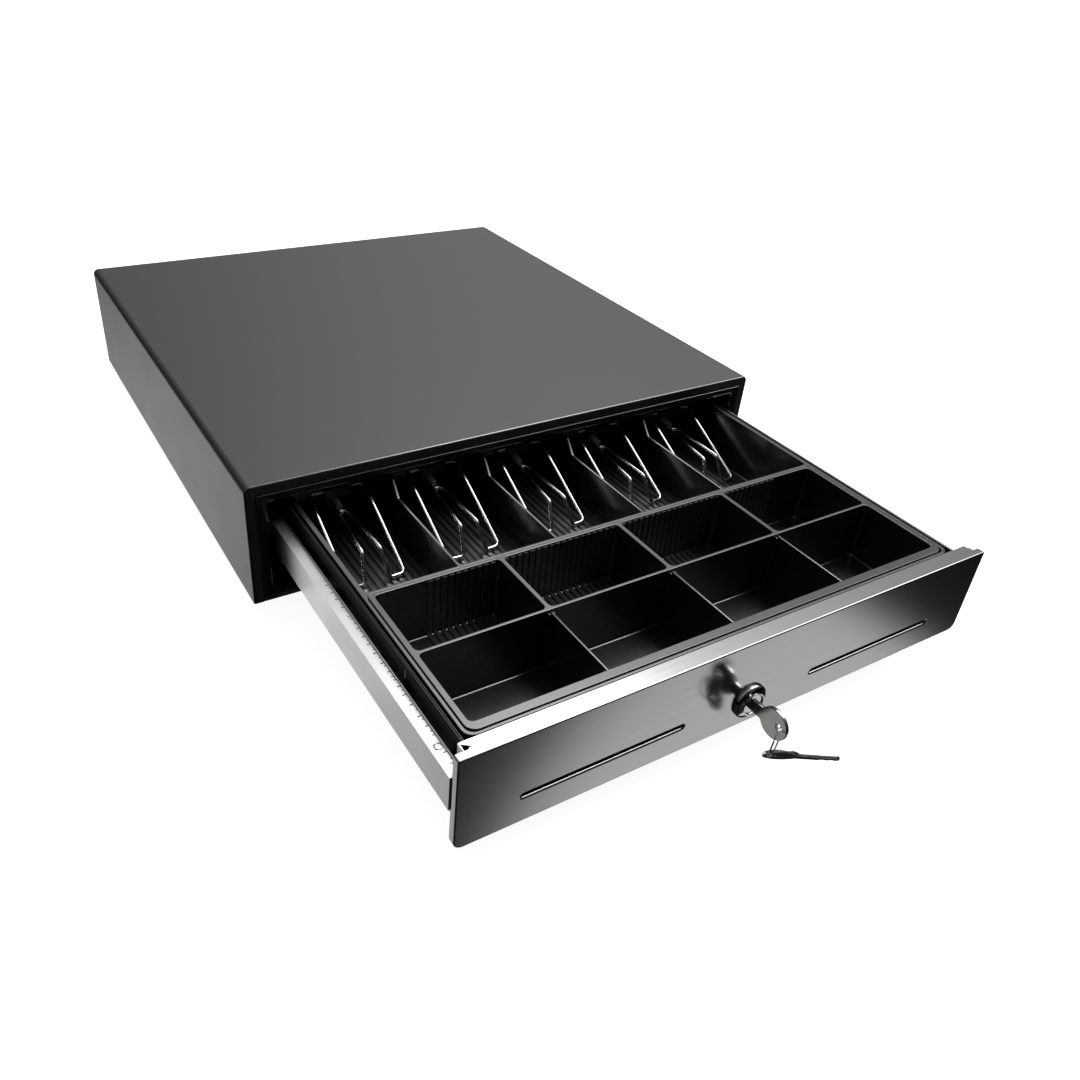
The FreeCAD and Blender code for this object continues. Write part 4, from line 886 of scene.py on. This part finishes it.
# -------------------------------------------------------------------------- lock
def make_lock():
    """The key lock: a domed ring and the plug with its keyway."""
    bm = bmesh.new()
    dome = [(6.5, 6.8), (9.5, 6.8), (9.5, 0), (11.3, 0), (11.3, -0.9), (11.1, -1.8)]
    dome += [(10.9 - 0.4 * k - 0.18 * k * k, -1.9 - 0.62 * k + 0.03 * k * k) for k in range(1, 5)]
    dome += [(7.6, -4.5), (6.9, -4.45), (6.55, -4.1), (6.5, -3.6)]
    add_lathe(bm, dome, steps=64)
    finish_piece("lock_ring", bm, LOCK, "drawer", "lock_chrome", ["lock_housing"])
    bm = bmesh.new()
    rows = [(circle((0, 0), r, 48), y) for r, y in ((6.45, 13.8), (6.45, -3.3), (6.3, -3.55), (6.05, -3.6))]
    loops = [add_loop(bm, points, y, facing) for points, y in rows]
    for first, second in zip(loops, loops[1:]):
        bridge(bm, first, second)
    slot = rounded_rect((-1.15, 1.15), (-4.15, 4.15), 0.3)
    walls = [add_loop(bm, inset(slot, i), y, facing) for i, y in ((-0.15, -3.6), (0, -3.4), (0, 13.0))]
    for first, second in zip(walls, walls[1:]):
        bridge(bm, first, second)
    fill(bm, [loops[-1], walls[0]])
    fill(bm, [walls[-1]])
    fill(bm, [loops[0]])
    finish_piece("lock_barrel", bm, LOCK, "lock", "lock_chrome", ["lock_plug"])


def add_key(bm):
    """A pressed key: bow with a ring hole, waist, blade with cuts."""
    bow_y, bow_r = -20.2, 9.75
    outline = [(12.6, -1.5), (12.8, 0.8), (12.2, 1.4), (11.1, 2.2), (8.6, 1.2), (6.1, 2.8), (3.6, 1.6),
               (1.6, 3.7), (-4.4, 3.7), (-4.5, 4), (-10.6, 4)]
    start = math.degrees(math.asin(4.6 / bow_r))
    outline += arc((bow_y, 0), bow_r, start, 360 - start, 40)
    outline += [(-10.6, -4), (-4.5, -4), (-4.4, -3.7), (10.6, -3.7)]
    hole = circle((-24.6, 0.5), 2.4, 28)
    add_slab(bm, outline, -1.0, 1.0, 0.28, [hole], sideways, 2)


def make_keys():
    """The key in the lock, a split ring through its bow, and the spare on the ring."""
    bm = bmesh.new()
    add_key(bm)
    finish_piece("key_in_lock", bm, LOCK, "lock", "key_nickel", ["key"])
    low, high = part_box("key_ring")
    middle = (low + high) / 2
    radius = (high.z - low.z) / 2 / MM - 0.7
    normal = Vector((-0.42, 0.906, 0)).normalized()
    along = Vector((0.906, 0.42, 0)).normalized()
    wire, turns, per_turn, start = 0.34, 1.95, 64, 2.4
    up = Vector((0, 0, 1))
    points = []
    for k in range(int(turns * per_turn) + 1):
        angle = start + 2 * math.pi * k / per_turn
        drift = wire * (2 * k / (turns * per_turn) - 1)
        points.append((along * math.cos(angle) + up * math.sin(angle)) * radius + normal * drift)
    bm = bmesh.new()
    add_wire(bm, points, wire, 8)
    finish_piece("split_ring", bm, middle, "ring", "key_nickel", ["key_ring"], sharp=60)
    bm = bmesh.new()
    add_key(bm)
    blade = Vector((0.84, -0.5426, 0)).normalized()
    face = Vector((0.455, 0.705, 0.545)).normalized()
    third = face.cross(blade).normalized()
    blade = third.cross(face)
    turn = Matrix((face, blade, third)).transposed().to_4x4()
    hole = turn @ (Vector((0, -24.6, 0.5)) * MM)
    ring_bottom = Vector((middle.x, middle.y, low.z + 0.7 * MM))
    finish_piece("spare_key_blank", bm, ring_bottom - hole, "spare", "key_nickel", ["spare_key"], turn=turn)


make_case_cover()
make_front_bezel()
make_base_pan()
make_rear_panel()
make_feet()
make_drawer_front()
make_drawer_pan()
for sign, word in ((-1, "left"), (1, "right")):
    make_case_rail(sign, word)
    make_drawer_rail(sign, word)
make_till_tray()
make_coin_tray()
make_note_clips()
make_case_spring("eject_spring", 1, 0.8, 12)
make_case_spring("latch_spring", 0, 0.45, 14)
make_lock()
make_keys()


# ------------------------------------------------------------ floor, light, camera
def make_stage():
    """A wide pale floor that glows a little, like a light table."""
    bm = bmesh.new()
    reach = 60000
    bm.faces.new([bm.verts.new(p) for p in ((-reach, -reach, 0), (reach, -reach, 0),
                                            (reach, reach, 0), (-reach, reach, 0))])
    mesh = bpy.data.meshes.new("studio_floor")
    bm.transform(Matrix.Scale(MM, 4))
    bm.to_mesh(mesh)
    bm.free()
    floor = bpy.data.objects.new("studio_floor", mesh)
    bpy.context.scene.collection.objects.link(floor)
    look = Look("light_table", (0.75, 0.75, 0.75), 0.9)
    look.tint(look.ramp(look.noise(3, 2), 0, 1), (0.74, 0.74, 0.74), (0.76, 0.76, 0.76))
    look.shader.inputs["Emission Color"].default_value = (1, 1, 1, 1)
    look.shader.inputs["Emission Strength"].default_value = 0.93
    floor.data.materials.append(look.material)
    floor.visible_glossy = False
    floor.visible_diffuse = False


X, Y, Z = (1, 0, 0), (0, 1, 0), (0, 0, 1)


class Sky:
    """Studio light by direction: a sum of soft patches, each a product of smooth steps."""

    def __init__(self):
        world = bpy.data.worlds.new("studio")
        world.use_nodes = True
        bpy.context.scene.world = world
        self.tree = world.node_tree
        self.tree.nodes["Background"].inputs["Color"].default_value = (1, 1, 1, 1)
        self.direction = self.tree.nodes.new("ShaderNodeTexCoord").outputs["Generated"]
        self.total = None

    def step(self, along, start, end, low, high):
        """Goes from low to high as the direction's part along a vector goes start to end."""
        part = self.tree.nodes.new("ShaderNodeVectorMath")
        part.operation = "DOT_PRODUCT"
        part.inputs[1].default_value = along
        self.tree.links.new(self.direction, part.inputs[0])
        node = self.tree.nodes.new("ShaderNodeMapRange")
        node.interpolation_type = "SMOOTHSTEP"
        limits = (start, end, low, high) if start < end else (end, start, high, low)
        for name, value in zip(("From Min", "From Max", "To Min", "To Max"), limits):
            node.inputs[name].default_value = value
        self.tree.links.new(part.outputs["Value"], node.inputs["Value"])
        return node.outputs["Result"]

    def maths(self, kind, first, second):
        """Joins two values by a sum or a product."""
        node = self.tree.nodes.new("ShaderNodeMath")
        node.operation = kind
        self.tree.links.new(first, node.inputs[0])
        self.tree.links.new(second, node.inputs[1])
        return node.outputs[0]

    def add(self, *steps):
        """Adds one soft patch of light, the product of its steps."""
        patch = self.step(*steps[0])
        for step in steps[1:]:
            patch = self.maths("MULTIPLY", patch, self.step(*step))
        self.total = self.maths("ADD", self.total, patch) if self.total else patch
        self.tree.links.new(self.total, self.tree.nodes["Background"].inputs["Strength"])


def make_lights():
    """A soft box overhead, a bright rear sky, a low glow from behind and a front card."""
    sky = Sky()
    # the soft box: brighter to the right, dimmer at the far right and towards the front
    sky.add((Z, 0.1, 0.8, 0.3, 1.1), (X, 0.0, 0.45, 0.25, 1.0), (X, 0.47, 0.85, 1.0, 0.38),
            (Y, -0.75, 0.1, 0.12, 1.0), (Z, -0.05, 0.1, 0.0, 1.0))
    # the bright rear sky: two patches high up, one above the other
    sky.add((Z, 0.62, 0.75, 0.0, 5.0), (X, 0.62, 0.42, 0.0, 1.0), (X, 0.27, 0.40, 0.15, 1.0),
            (X, -0.35, 0.0, 0.0, 1.0), (Y, -0.3, 0.1, 0.0, 1.0))
    sky.add((Z, 0.73, 0.81, 0.0, 4.5), (X, 0.82, 0.68, 0.0, 1.0), (X, 0.27, 0.40, 0.0, 1.0),
            (Y, -0.4, -0.1, 0.0, 1.0))
    # a bright strip high on the right
    sky.add((X, 0.55, 0.72, 0.0, 1.0), (Z, 0.42, 0.56, 0.0, 3.0), (Y, 0.30, 0.15, 0.0, 1.0),
            (Y, -0.4, -0.2, 0.0, 1.0))
    # the low glow from behind
    sky.add((Z, -0.15, -0.5, 0.0, 1.0), (Y, 0.15, 0.55, 0.012, 0.50))
    sky.add((Z, -0.15, -0.5, 0.0, 1.0), (Y, 0.55, 0.95, 0.0, 1.05))
    # the front card, cut off slantwise on both sides, which the drawer front reflects
    sky.add((Z, -0.3, -0.42, 0.0, 1.0), (Y, -0.2, -0.33, 0.0, 1.0),
            ((1, 0, -1.25), 1.325, 1.37, 0.0, 0.66), ((1, 0, 2), -0.35, -0.48, 0.0, 1.0))


def make_camera():
    """A camera in front of the drawer, left of it and above, tilted a little."""
    camera_data = bpy.data.cameras.new("camera")
    camera_data.sensor_width = 36
    camera_data.lens = 31.85
    camera_data.shift_x = 0.036
    camera_data.shift_y = -0.006
    camera_data.clip_start = 0.01
    camera = bpy.data.objects.new("camera", camera_data)
    spot = Vector((-0.3406, -0.5546, 0.4090))
    target = Vector((-0.0476, -0.1110, 0.05))
    roll = math.radians(4.54)
    aim = (target - spot).to_track_quat("-Z", "Y").to_matrix().to_4x4()
    camera.matrix_world = Matrix.Translation(spot) @ aim @ Matrix.Rotation(roll, 4, "Z")
    bpy.context.scene.collection.objects.link(camera)
    bpy.context.scene.camera = camera


make_stage()
make_lights()
make_camera()
bpy.context.scene.view_settings.view_transform = "Standard"
